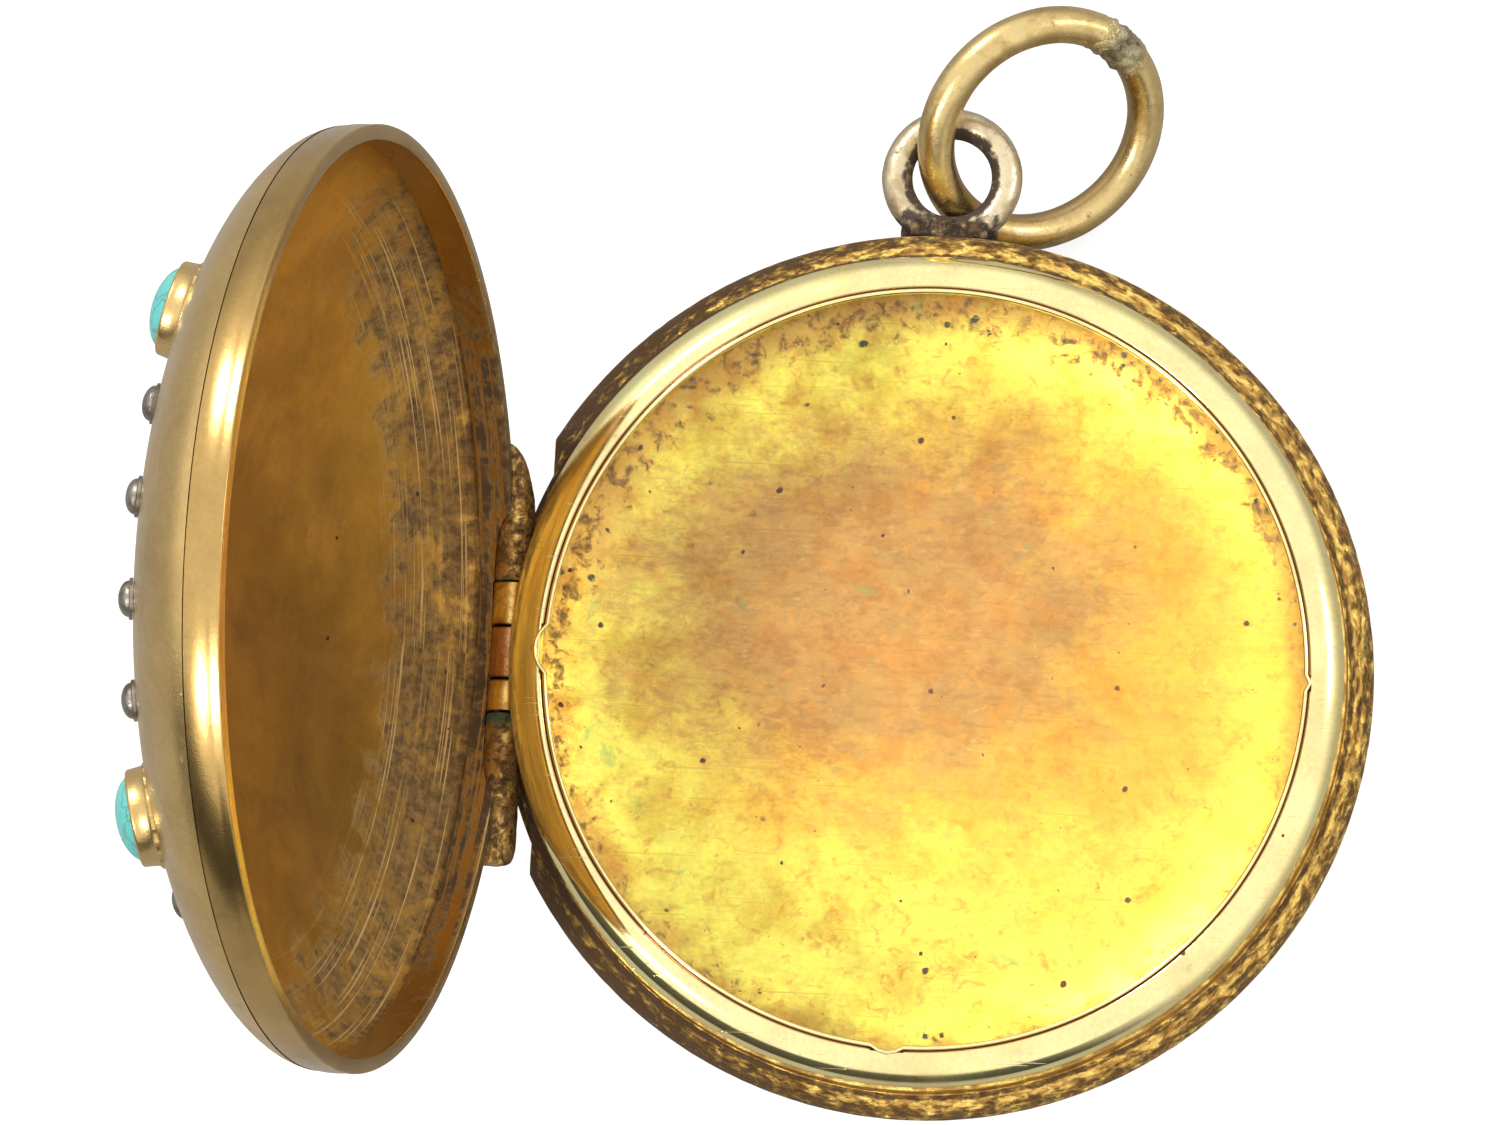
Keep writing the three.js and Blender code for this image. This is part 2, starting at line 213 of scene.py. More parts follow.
def mark_points(piece, name, test):
    """Marks the points that pass the test with a 1 that the finishes read."""
    mark = piece.data.attributes.new(name, "FLOAT", "POINT")
    for point in piece.data.vertices:
        mark.data[point.index].value = 1.0 if test(point.co) else 0.0


def roughen(piece, size, depth, seed=0.0):
    """Gives a surface the unevenness of hand work: lumps of one size, in and out by a depth."""
    lumps = bpy.data.textures.new(piece.name + "_lumps", "CLOUDS")
    lumps.noise_scale = size
    lumps.noise_depth = 3
    lumps.noise_basis = "IMPROVED_PERLIN"
    anchor = bpy.data.objects.new(piece.name + "_lump_anchor", None)
    anchor.location = (seed, seed, 0)
    bpy.context.scene.collection.objects.link(anchor)
    bpy.context.view_layer.update()
    modify(piece, "DISPLACE", texture=lumps, texture_coords="OBJECT", texture_coords_object=anchor,
           strength=depth, mid_level=0.5)
    bpy.data.objects.remove(anchor)
    return piece


def smooth(piece, degrees=35):
    only(piece)
    bpy.ops.object.shade_smooth_by_angle(angle=math.radians(degrees))
    return piece


def copy_of(piece, name):
    twin = piece.copy()
    twin.data = piece.data.copy()
    twin.name = name
    bpy.context.scene.collection.objects.link(twin)
    return twin


def stands_for(piece, node, body, material):
    """Gives a finished piece its material and its place in the frame."""
    piece.data.materials.clear()
    piece.data.materials.append(material)
    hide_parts(node)
    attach(piece, body)
    return piece


def arc(centre, radius, start, end, steps):
    """Points on an arc in the XZ plane, from one angle to another, in degrees."""
    turn = [math.radians(start + (end - start) * i / steps) for i in range(steps + 1)]
    return [(centre[0] + radius[0] * math.cos(a), centre[1] + radius[1] * math.sin(a)) for a in turn]


def rod(name, radius, start, end, x, z, steps=SMALL_STEPS):
    """A rod along Y."""
    bpy.ops.object.select_all(action="DESELECT")
    bpy.ops.mesh.primitive_cylinder_add(
        vertices=steps, radius=radius, depth=end - start, location=(x, (start + end) / 2, z),
        rotation=(math.pi / 2, 0, 0))
    return named(name)


def disc(name, radius, z):
    """An upright disc about the case's axis, to cut other pieces to the case's curve."""
    piece = rod(name, radius, -2 * MM, 2 * MM, 0, 0, CUTTER_STEPS)
    return place(piece, Matrix.Translation((0, 0, z)) @ Matrix.Rotation(math.pi / 2, 4, "X"))


def block(name, low, high):
    """A box between two corners."""
    bpy.ops.object.select_all(action="DESELECT")
    size = [b - a for a, b in zip(low, high)]
    middle = [(a + b) / 2 for a, b in zip(low, high)]
    bpy.ops.mesh.primitive_cube_add(size=1, location=middle, scale=size)
    return named(name)


# The front is drawn shut. This turns it open about the hinge.
OPENED = (Matrix.Translation(HINGE_AXIS) @ Matrix.Rotation(OPEN_ANGLE, 4, HINGE["axis"])
          @ Matrix.Translation(-HINGE_AXIS))


# ---- Shader groups -------------------------------------------------------------------------------

class Group:
    """A shader node group with named inputs and outputs, and short ways to add and join its nodes."""

    def __init__(self, name, inputs, outputs):
        self.tree = bpy.data.node_groups.new(name, "ShaderNodeTree")
        for label, kind, value in inputs:
            socket = self.tree.interface.new_socket(label, in_out="INPUT", socket_type="NodeSocket" + kind)
            if value is not None:
                socket.default_value = value
        for label, kind in outputs:
            self.tree.interface.new_socket(label, in_out="OUTPUT", socket_type="NodeSocket" + kind)
        self.given = self.tree.nodes.new("NodeGroupInput").outputs
        self.result = self.tree.nodes.new("NodeGroupOutput").inputs


def wire(tree, value, socket):
    """Joins a socket to an output, or sets it to a plain value."""
    if isinstance(value, bpy.types.NodeSocket):
        tree.links.new(value, socket)
    else:
        socket.default_value = value


def maths(tree, operation, first, second=0.0, third=None, clamp=False):
    node = tree.nodes.new("ShaderNodeMath")
    node.operation = operation
    node.use_clamp = clamp
    wire(tree, first, node.inputs[0])
    wire(tree, second, node.inputs[1])
    if third is not None:
        wire(tree, third, node.inputs[2])
    return node.outputs[0]


def times(tree, first, second, clamp=False):
    return maths(tree, "MULTIPLY", first, second, clamp=clamp)


def scaled(tree, value, factor, offset, clamp=False):
    """The value times a factor, plus an offset."""
    return maths(tree, "MULTIPLY_ADD", value, factor, offset, clamp)


def vector_maths(tree, operation, *values):
    node = tree.nodes.new("ShaderNodeVectorMath")
    node.operation = operation
    for value, socket in zip(values, node.inputs):
        wire(tree, value, socket)
    return node.outputs["Value" if operation in ("LENGTH", "DISTANCE") else "Vector"]


def split(tree, vector):
    """The X, Y and Z of a vector."""
    node = tree.nodes.new("ShaderNodeSeparateXYZ")
    wire(tree, vector, node.inputs[0])
    return node.outputs


def painted(tree, name):
    """The marks that a piece's points carry under a name."""
    node = tree.nodes.new("ShaderNodeAttribute")
    node.attribute_name = name
    return node.outputs["Fac"]


def choose(tree, share, first, second):
    """One shader where the share is 0 and another where it is 1."""
    node = tree.nodes.new("ShaderNodeMixShader")
    for value, socket in zip((share, first, second), node.inputs):
        wire(tree, value, socket)
    return node.outputs["Shader"]


def lerp(tree, share, first, second):
    """One value where the share is 0 and another where it is 1."""
    node = tree.nodes.new("ShaderNodeMix")
    node.data_type = "FLOAT"
    wire(tree, share, node.inputs["Factor"])
    wire(tree, first, node.inputs["A"])
    wire(tree, second, node.inputs["B"])
    return node.outputs["Result"]


def blend_colour(tree, factor, first, second, how="MIX"):
    node = tree.nodes.new("ShaderNodeMix")
    node.data_type = "RGBA"
    node.blend_type = how
    wire(tree, factor, node.inputs["Factor"])
    wire(tree, first, node.inputs["A"])
    wire(tree, second, node.inputs["B"])
    return node.outputs["Result"]


def step_between(tree, value, low, high):
    """0 below low, 1 above high, and smooth between them."""
    node = tree.nodes.new("ShaderNodeMapRange")
    node.interpolation_type = "SMOOTHSTEP"
    wire(tree, value, node.inputs["Value"])
    wire(tree, low, node.inputs["From Min"])
    wire(tree, high, node.inputs["From Max"])
    return node.outputs["Result"]


def cloud(tree, place_at, scale, detail=5.0, rough=0.6, twist=0.0):
    node = tree.nodes.new("ShaderNodeTexNoise")
    wire(tree, place_at, node.inputs["Vector"])
    wire(tree, scale, node.inputs["Scale"])
    node.inputs["Detail"].default_value = detail
    node.inputs["Roughness"].default_value = rough
    node.inputs["Distortion"].default_value = twist
    return node.outputs["Fac"]


def mapped(tree, place_at, **settings):
    """Coordinates moved, turned or scaled by a Mapping node."""
    node = tree.nodes.new("ShaderNodeMapping")
    wire(tree, place_at, node.inputs["Vector"])
    for label, value in settings.items():
        node.inputs[label].default_value = value
    return node.outputs["Vector"]


def make_patina():
    """Stains and dirt on metal. Sizes are in millimetres, amounts from 0 to 1."""
    group = Group("Patina", [
        ("Coordinates", "Vector", None), ("Clean", "Color", (0.9, 0.7, 0.3, 1)),
        ("Stain", "Color", (0.5, 0.3, 0.1, 1)), ("Dirt", "Color", (0.05, 0.03, 0.02, 1)),
        ("Stain Size", "Float", 2.0), ("Stain Amount", "Float", 0.4),
        ("Dirt Size", "Float", 0.3), ("Dirt Amount", "Float", 0.2), ("Polish", "Float", 0.3),
    ], [("Colour", "Color"), ("Roughness", "Float"), ("Metallic", "Float"), ("Height", "Float")])
    tree, given, result = group.tree, group.given, group.result
    soft = 0.12
    coordinates = given["Coordinates"]

    def mask(size, amount, detail, rough):
        field = cloud(tree, coordinates, maths(tree, "DIVIDE", 1.0, size), detail, rough, 0.3)
        level = scaled(tree, amount, -0.46, 0.73)
        return step_between(tree, field, maths(tree, "SUBTRACT", level, soft),
                            maths(tree, "ADD", level, soft))

    stain = mask(given["Stain Size"], given["Stain Amount"], 6.0, 0.62)
    dirt = mask(given["Dirt Size"], given["Dirt Amount"], 8.0, 0.7)
    grain = cloud(tree, coordinates, 22.0, 3.0, 0.6)
    drift = cloud(tree, coordinates, 0.55, 3.0, 0.5)
    stained = blend_colour(tree, stain, given["Clean"], given["Stain"])
    fine = cloud(tree, coordinates, 7.0, 4.0, 0.7)
    shade = scaled(tree, drift, 0.5, scaled(tree, fine, 0.35, 0.58))
    varied = blend_colour(tree, 1.0, stained, shade, "MULTIPLY")
    wire(tree, blend_colour(tree, dirt, varied, given["Dirt"]), result["Colour"])
    rough = scaled(tree, stain, 0.14, given["Polish"])
    rough = scaled(tree, dirt, 0.45, rough)
    wire(tree, scaled(tree, grain, 0.08, rough), result["Roughness"])
    wire(tree, scaled(tree, dirt, -0.8, 1.0), result["Metallic"])
    height = scaled(tree, dirt, 0.6, times(tree, grain, 0.3))
    wire(tree, scaled(tree, stain, 0.15, height), result["Height"])
    return group.tree


def make_specks():
    """Scattered specks: one here and there, of about the size given in millimetres."""
    group = Group("Specks", [("Coordinates", "Vector", None), ("Spacing", "Float", 1.0),
                             ("Size", "Float", 0.1), ("Amount", "Float", 0.5)], [("Mask", "Float")])
    tree, given, result = group.tree, group.given, group.result
    wobble = tree.nodes.new("ShaderNodeTexNoise")
    wire(tree, given["Coordinates"], wobble.inputs["Vector"])
    wobble.inputs["Scale"].default_value = 5.0
    ragged = (0.12, 0.12, 0.12)
    warp = vector_maths(tree, "MULTIPLY_ADD", wobble.outputs["Color"], ragged, given["Coordinates"])
    cells = tree.nodes.new("ShaderNodeTexVoronoi")
    wire(tree, warp, cells.inputs["Vector"])
    wire(tree, maths(tree, "DIVIDE", 1.0, given["Spacing"]), cells.inputs["Scale"])
    lucky = tree.nodes.new("ShaderNodeSeparateColor")
    wire(tree, cells.outputs["Color"], lucky.inputs["Color"])
    chosen = maths(tree, "LESS_THAN", lucky.outputs["Red"], given["Amount"])
    reach = maths(tree, "DIVIDE", given["Size"], given["Spacing"])
    own_reach = times(tree, reach, scaled(tree, lucky.outputs["Green"], 0.9, 0.3))
    inside = step_between(tree, cells.outputs["Distance"], own_reach, times(tree, own_reach, 0.6))
    wire(tree, times(tree, inside, chosen, clamp=True), result["Mask"])
    return group.tree


def make_scratches():
    """Hairline scratches in a few directions, and their mask."""
    group = Group("Scratches", [("Coordinates", "Vector", None), ("Amount", "Float", 0.3)],
                  [("Mask", "Float")])
    tree, given, result = group.tree, group.given, group.result
    total = 0.0
    for degrees, length, offset in ((20, 0.25, 0.0), (75, 0.3, 4.0), (-38, 0.2, 9.0), (-80, 0.35, 15.0)):
        turn = mapped(tree, given["Coordinates"], Rotation=(0, 0, math.radians(degrees)),
                      Location=(offset, offset, 0), Scale=(length, 14.0, 1.0))
        field = cloud(tree, turn, 1.0, 2.0, 0.5, 0.15)
        level = scaled(tree, given["Amount"], -0.12, 0.76)
        line = step_between(tree, field, level, maths(tree, "ADD", level, 0.03))
        total = maths(tree, "ADD", line, total, clamp=True)
    wire(tree, total, result["Mask"])
    return group.tree


def make_lathe_coordinates():
    """Radius, way round and height in millimetres. The way round is measured near the rim."""
    group = Group("Lathe coordinates", [("Coordinates", "Vector", None)],
                  [("Radius", "Float"), ("Across", "Float"), ("Coordinates", "Vector")])
    tree, given, result = group.tree, group.given, group.result
    x, y, z = split(tree, given["Coordinates"])
    radius = maths(tree, "SQRT", scaled(tree, x, x, times(tree, y, y)))
    way = times(tree, maths(tree, "ARCTAN2", y, x), 10.0)
    together = tree.nodes.new("ShaderNodeCombineXYZ")
    for value, socket in zip((radius, way, z), together.inputs):
        wire(tree, value, socket)
    wire(tree, radius, result["Radius"])
    wire(tree, x, result["Across"])
    wire(tree, together.outputs[0], result["Coordinates"])
    return group.tree


PATINA = make_patina()
SPECKS = make_specks()
SCRATCHES = make_scratches()
LATHE = make_lathe_coordinates()


# ---- Materials -----------------------------------------------------------------------------------

class Finish:
    """A material with its coordinates in millimetres, its Principled shader and a bump."""

    def __init__(self, name, of_front=False):
        self.material = bpy.data.materials.new(name)
        self.material.use_nodes = True
        self.tree = self.material.node_tree
        self.shader = self.tree.nodes["Principled BSDF"]
        coordinates = self.tree.nodes.new("ShaderNodeTexCoord")
        fit = self.tree.nodes.new("ShaderNodeMapping")
        self.tree.links.new(coordinates.outputs["Object"], fit.inputs["Vector"])
        fit.inputs["Scale"].default_value = (1 / MM,) * 3
        if of_front:
            shut = OPENED.inverted()
            fit.inputs["Rotation"].default_value = shut.to_euler()
            fit.inputs["Location"].default_value = (shut.translation - Vector((0, 0, PARTING_Z))) / MM
        else:
            fit.inputs["Location"].default_value = (0, 0, -PARTING_Z / MM)
        self.here = fit.outputs["Vector"]

    def use(self, group, **inputs):
        """Places a shader group and gives its outputs. Underscores in the names stand for spaces."""
        node = self.tree.nodes.new("ShaderNodeGroup")
        node.node_tree = group
        for key, value in {"Coordinates": self.here, **inputs}.items():
            wire(self.tree, value, node.inputs[key.replace("_", " ")])
        return node.outputs

    def feed(self, label, value):
        wire(self.tree, value, self.shader.inputs[label])

    def bump(self, height, depth):
        node = self.tree.nodes.new("ShaderNodeBump")
        node.inputs["Distance"].default_value = depth
        node.inputs["Strength"].default_value = 1.0
        wire(self.tree, height, node.inputs["Height"])
        self.feed("Normal", node.outputs["Normal"])

    def wear(self, patina, depth):
        """Feeds a patina group to the shader."""
        self.feed("Base Color", patina["Colour"])
        self.feed("Roughness", patina["Roughness"])
        self.feed("Metallic", patina["Metallic"])
        self.bump(patina["Height"], depth)


def worn_gold():
    """The case's rim: gold streaked along its length, dark towards its edge and about the hinge."""
    finish = Finish("worn_gold")
    tree = finish.tree
    lathe = finish.use(LATHE)
    lengthwise = mapped(tree, lathe["Coordinates"], Scale=(2.8, 1.0, 2.8))
    streak = cloud(tree, lengthwise, 2.0, 6.0, 0.7)
    edge = step_between(tree, scaled(tree, streak, 0.8, lathe["Radius"]), 10.95, 11.35)
    near_hinge = step_between(tree, lathe["Across"], 1.0, -8.5)
    from_snap = maths(tree, "ABSOLUTE", maths(tree, "SUBTRACT", lathe["Radius"], 10.46))
    groove = step_between(tree, from_snap, 0.10, 0.03)
    edge = maths(tree, "MAXIMUM", edge, groove)
    snap = times(tree, step_between(tree, lathe["Radius"], 10.40, 10.34),
                 step_between(tree, lathe["Across"], -9.0, -7.0))
    dirt = scaled(tree, edge, 0.34, scaled(tree, near_hinge, 0.38, 0.20))
    patina = finish.use(PATINA, Coordinates=lengthwise, Clean=(0.95, 0.66, 0.18, 1),
                        Stain=(0.40, 0.22, 0.06, 1), Dirt=(0.10, 0.055, 0.025, 1), Stain_Size=0.5,
                        Stain_Amount=0.56, Dirt_Size=0.3, Dirt_Amount=maths(tree, "SUBTRACT", dirt, snap),
                        Polish=0.22)
    finish.wear(patina, 0.04 * MM)
    return finish.material


def bearing_gold():
    """The hinge's bearings: grainy gold gone dark, with bright high spots."""
    finish = Finish("bearing_gold", of_front=True)
    tree = finish.tree
    patina = finish.use(PATINA, Clean=(0.74, 0.47, 0.15, 1), Stain=(0.36, 0.20, 0.07, 1),
                        Dirt=(0.07, 0.04, 0.02, 1), Stain_Size=0.4, Stain_Amount=0.5, Dirt_Size=0.22,
                        Dirt_Amount=0.38, Polish=0.24)
    crust = cloud(tree, finish.here, 3.0, 5.0, 0.7)
    along = maths(tree, "ABSOLUTE", split(tree, finish.here)["Y"])
    beside = scaled(tree, crust, 0.5, along)
    verdigris = step_between(tree, beside, 2.15, 1.95)
    colour = blend_colour(tree, times(tree, verdigris, 0.85), patina["Colour"], (0.025, 0.10, 0.07, 1))
    finish.feed("Base Color", colour)
    finish.feed("Roughness", scaled(tree, verdigris, 0.4, patina["Roughness"]))
    metal = scaled(tree, verdigris, -0.8, patina["Metallic"], clamp=True)
    finish.feed("Metallic", metal)
    finish.bump(scaled(tree, verdigris, crust, patina["Height"]), 0.04 * MM)
    return finish.material


def patch(tree, coordinates, centre, reach, wobble):
    """A soft-edged oval stain: 1 in its middle and 0 outside. Sizes are in millimetres."""
    flat = mapped(tree, coordinates, Scale=(1 / reach[0], 1 / reach[1], 0),
                  Location=(-centre[0] / reach[0], -centre[1] / reach[1], 0))
    edge = scaled(tree, wobble, 1.5, vector_maths(tree, "LENGTH", flat))
    return step_between(tree, edge, 2.05, 1.3)


def dish_gold():
    """The back's dish: satin gold with a painted reflection inside (a bright yellow ring round a darker
    orange and brown middle), stained, with a dirty edge and specks, and plain gold outside.
    """
    finish = Finish("dish_gold")
    tree = finish.tree
    lathe = finish.use(LATHE)
    drift = cloud(tree, finish.here, 0.42, 6.0, 0.68, 0.5)
    mottle = cloud(tree, finish.here, 1.5, 7.0, 0.72, 0.4)
    wobble = scaled(tree, mottle, 0.45, times(tree, drift, 0.65))
    # Painted reflection: these two patches make the dish's middle darker orange and brown inside a bright
    # yellow ring, a dark reflection painted into the colour.
    painted_reflection_middle = patch(tree, finish.here, (1.5, 1.0), (9.4, 7.0), wobble)
    brown = patch(tree, finish.here, (-1.4, 2.0), (7.0, 5.0), wobble)
    colour = blend_colour(tree, painted_reflection_middle, (1.0, 0.90, 0.12, 1), (0.98, 0.55, 0.06, 1))
    colour = blend_colour(tree, times(tree, brown, 0.9), colour, (0.54, 0.29, 0.085, 1))
    lengthwise = mapped(tree, finish.here, Scale=(1.1, 2.6, 1.1))
    # Stain blots, made stronger where the painted dark reflection is.
    blots = step_between(tree, cloud(tree, lengthwise, 1.5, 9.0, 0.78, 0.4), 0.47, 0.60)
    blotted = times(tree, blots, scaled(tree, brown, 0.36, 0.16))
    colour = blend_colour(tree, blotted, colour, (0.40, 0.20, 0.06, 1))
    pale = step_between(tree, cloud(tree, lengthwise, 2.6, 8.0, 0.75, 0.2), 0.56, 0.66)
    colour = blend_colour(tree, times(tree, pale, 0.22), colour, (1.0, 0.74, 0.30, 1))
    ring = scaled(tree, mottle, 1.6, lathe["Radius"])
    edge = step_between(tree, ring, 9.15, 10.1)
    colour = blend_colour(tree, times(tree, edge, 0.8), colour, (0.62, 0.33, 0.06, 1))
    rusty = step_between(tree, cloud(tree, finish.here, 2.3, 6.0, 0.7, 0.6), 0.53, 0.66)
    colour = blend_colour(tree, times(tree, rusty, 0.6), colour, (0.74, 0.33, 0.05, 1))
    deeper = blend_colour(tree, 1.0, colour, (0.90, 0.76, 0.62, 1), "MULTIPLY")
    patina = finish.use(PATINA, Clean=colour, Stain=deeper, Dirt=(0.22, 0.11, 0.035, 1), Stain_Size=1.3,
                        Stain_Amount=0.42, Dirt_Size=0.35, Dirt_Amount=scaled(tree, edge, 0.28, 0.03),
                        Polish=0.33)
    specks = finish.use(SPECKS, Spacing=0.7, Size=0.09, Amount=0.42)["Mask"]
    crust = finish.use(SPECKS, Spacing=0.34, Size=0.11, Amount=times(tree, edge, 0.14))["Mask"]
    verdigris = step_between(tree, cloud(tree, finish.here, 0.95, 7.0, 0.72, 0.8), 0.60, 0.70)
    colour = blend_colour(tree, times(tree, verdigris, 0.42), patina["Colour"], (0.20, 0.42, 0.13, 1))
    colour = blend_colour(tree, crust, colour, (0.10, 0.12, 0.05, 1))
    colour = blend_colour(tree, specks, colour, (0.13, 0.045, 0.02, 1))
    dull = maths(tree, "MAXIMUM", specks, crust)
    rough = scaled(tree, dull, 0.3, patina["Roughness"])
    metal = scaled(tree, dull, -0.7, patina["Metallic"], clamp=True)
    height = scaled(tree, dull, 0.8, patina["Height"])
    scratches = finish.use(SCRATCHES, Amount=0.5)["Mask"]
    outer = finish.use(PATINA, Clean=(0.82, 0.58, 0.22, 1), Stain=(0.64, 0.41, 0.14, 1),
                       Dirt=(0.12, 0.07, 0.03, 1), Stain_Size=2.4, Stain_Amount=0.35, Dirt_Size=0.5,
                       Dirt_Amount=0.05, Polish=0.2)
    inside = painted(tree, "inside")
    finish.feed("Base Color", blend_colour(tree, inside, outer["Colour"], colour))
    outer_rough = scaled(tree, scratches, 0.15, outer["Roughness"])
    finish.feed("Roughness", lerp(tree, inside, outer_rough, rough))
    finish.feed("Metallic", lerp(tree, inside, outer["Metallic"], metal))
    outer_height = scaled(tree, scratches, -0.5, outer["Height"])
    finish.bump(lerp(tree, inside, outer_height, height), 0.02 * MM)
    return finish.material


def mirror_gold():
    """The picture frame: pale gold, polished, with a few pits, faint tarnish and a painted dark reflection in
    the groove behind the lip.
    """
    finish = Finish("mirror_gold")
    tree = finish.tree
    patina = finish.use(PATINA, Clean=(1.0, 0.85, 0.41, 1), Stain=(0.98, 0.79, 0.34, 1),
                        Dirt=(0.34, 0.19, 0.06, 1), Stain_Size=3.2, Stain_Amount=0.3, Dirt_Size=0.8,
                        Dirt_Amount=0.02, Polish=0.045)
    specks = finish.use(SPECKS, Spacing=1.1, Size=0.06, Amount=0.35)["Mask"]
    scratches = finish.use(SCRATCHES, Amount=0.3)["Mask"]
    # Painted reflection: the groove behind the lip is painted dark, a dark reflection painted into the
    # colour.
    groove = times(tree, painted(tree, "groove"), 0.9)
    colour = blend_colour(tree, groove, patina["Colour"], (0.22, 0.07, 0.03, 1))
    finish.feed("Base Color", blend_colour(tree, specks, colour, (0.12, 0.06, 0.02, 1)))
    rough = scaled(tree, scratches, 0.12, patina["Roughness"])
    finish.feed("Roughness", scaled(tree, specks, 0.4, rough))
    finish.shader.inputs["Metallic"].default_value = 1.0
    finish.bump(scaled(tree, specks, -1.0, times(tree, scratches, -0.4)), 0.01 * MM)
    return finish.material


def old_glass():
    """Thin old glass: clear, with specks of dirt and hairline scratches."""
    finish = Finish("old_glass")
    tree = finish.tree
    specks = finish.use(SPECKS, Spacing=1.2, Size=0.085, Amount=0.4)["Mask"]
    dust = finish.use(SPECKS, Spacing=0.5, Size=0.04, Amount=0.3)["Mask"]
    scratches = finish.use(SCRATCHES, Amount=0.3)["Mask"]
    lathe = finish.use(LATHE)
    edge = step_between(tree, lathe["Radius"], 8.7, 9.3)
    grime = times(tree, edge, step_between(tree, cloud(tree, finish.here, 1.6, 6.0, 0.7), 0.45, 0.7))
    colour = blend_colour(tree, times(tree, grime, 0.6), (1, 1, 1, 1), (0.55, 0.50, 0.28, 1))
    colour = blend_colour(tree, times(tree, scratches, 0.35), colour, (0.45, 0.36, 0.20, 1))
    marks = maths(tree, "MAXIMUM", specks, times(tree, dust, 0.7))
    colour = blend_colour(tree, marks, colour, (0.08, 0.05, 0.03, 1))
    finish.feed("Base Color", colour)
    finish.feed("Roughness", times(tree, scratches, 0.25))
    finish.shader.inputs["Transmission Weight"].default_value = 1.0
    finish.shader.inputs["IOR"].default_value = 1.3
    finish.bump(times(tree, scratches, -1.0), 0.003 * MM)
    light = tree.nodes.new("ShaderNodeLightPath")
    clear = tree.nodes.new("ShaderNodeBsdfTransparent")
    either = choose(tree, light.outputs["Is Shadow Ray"], finish.shader.outputs["BSDF"],
                    clear.outputs["BSDF"])
    wire(tree, either, tree.nodes["Material Output"].inputs["Surface"])
    return finish.material


def front_gold():
    """The dome: soft polished pale gold outside, and a brown, streaked satin inside with a dark edge and a
    broad painted shadow.
    """
    finish = Finish("front_gold", of_front=True)
    tree = finish.tree
    lathe = finish.use(LATHE)
    streak = cloud(tree, mapped(tree, lathe["Coordinates"], Scale=(6.0, 0.22, 6.0)), 1.0, 4.0, 0.6)
    near_hinge = times(tree, step_between(tree, lathe["Across"], 3.0, -6.0),
                       step_between(tree, lathe["Radius"], 7.4, 9.6))
    grime = times(tree, near_hinge, scaled(tree, streak, -0.55, 0.86))
    # Painted shadow: a broad soft patch darkens the inside. The clean and stained colours below carry this
    # painted shadow into the patina.
    drift = cloud(tree, finish.here, 0.35, 3.0, 0.5)
    shade = patch(tree, finish.here, (0.0, -2.5), (10.0, 6.5), drift)
    clean = blend_colour(tree, shade, (0.66, 0.37, 0.075, 1), (0.38, 0.215, 0.05, 1))
    stained = blend_colour(tree, 1.0, clean, (0.74, 0.68, 0.72, 1), "MULTIPLY")
    grit = step_between(tree, cloud(tree, finish.here, 4.0, 6.0, 0.75), 0.40, 0.62)
    dirty = blend_colour(tree, scaled(tree, streak, 0.5, times(tree, grit, 0.45)),
                         (0.045, 0.022, 0.009, 1), (0.42, 0.24, 0.07, 1))
    inner = finish.use(PATINA, Clean=clean, Stain=stained, Dirt=dirty, Stain_Size=3.2, Stain_Amount=0.42,
                       Dirt_Size=0.9, Dirt_Amount=maths(tree, "ADD", grime, 0.03), Polish=0.37)
    hair = cloud(tree, mapped(tree, lathe["Coordinates"], Scale=(22.0, 0.18, 22.0)), 1.0, 2.0, 0.5)
    rub = times(tree, near_hinge, step_between(tree, hair, 0.60, 0.66))
    outer = finish.use(PATINA, Clean=(0.72, 0.50, 0.20, 1), Stain=(0.60, 0.40, 0.15, 1),
                       Dirt=(0.10, 0.06, 0.03, 1), Stain_Size=3.0, Stain_Amount=0.3, Dirt_Size=0.7,
                       Dirt_Amount=0.02, Polish=0.2)
    inside = painted(tree, "inside")
    specks = finish.use(SPECKS, Spacing=1.3, Size=0.08, Amount=0.4)["Mask"]
    rubbed = blend_colour(tree, times(tree, rub, 0.75), inner["Colour"], (0.80, 0.52, 0.20, 1))
    colour = blend_colour(tree, inside, outer["Colour"], rubbed)
    finish.feed("Base Color", blend_colour(tree, specks, colour, (0.07, 0.035, 0.015, 1)))
    for label in ("Roughness", "Metallic"):
        finish.feed(label, lerp(tree, inside, outer[label], inner[label]))
    finish.bump(lerp(tree, inside, outer["Height"], inner["Height"]), 0.015 * MM)
    return finish.material


def rim_gold():
    """The front's rim: dark, with bright scratches that run round it."""
    finish = Finish("rim_gold", of_front=True)
    tree = finish.tree
    lathe = finish.use(LATHE)
    streak = cloud(tree, mapped(tree, lathe["Coordinates"], Scale=(9.0, 0.2, 9.0)), 1.0, 3.0, 0.55)
    bare = step_between(tree, streak, 0.48, 0.62)
    near_hinge = step_between(tree, lathe["Across"], -3.0, -9.5)
    dirt = times(tree, near_hinge, scaled(tree, bare, -0.45, 0.62))
    stain = scaled(tree, near_hinge, 0.4, 0.25)
    patina = finish.use(PATINA, Clean=(0.56, 0.36, 0.125, 1), Stain=(0.46, 0.28, 0.095, 1),
                        Dirt=(0.10, 0.055, 0.022, 1), Stain_Size=2.2, Stain_Amount=stain, Dirt_Size=0.5,
                        Dirt_Amount=dirt, Polish=0.15)
    finish.wear(patina, 0.008 * MM)
    return finish.material


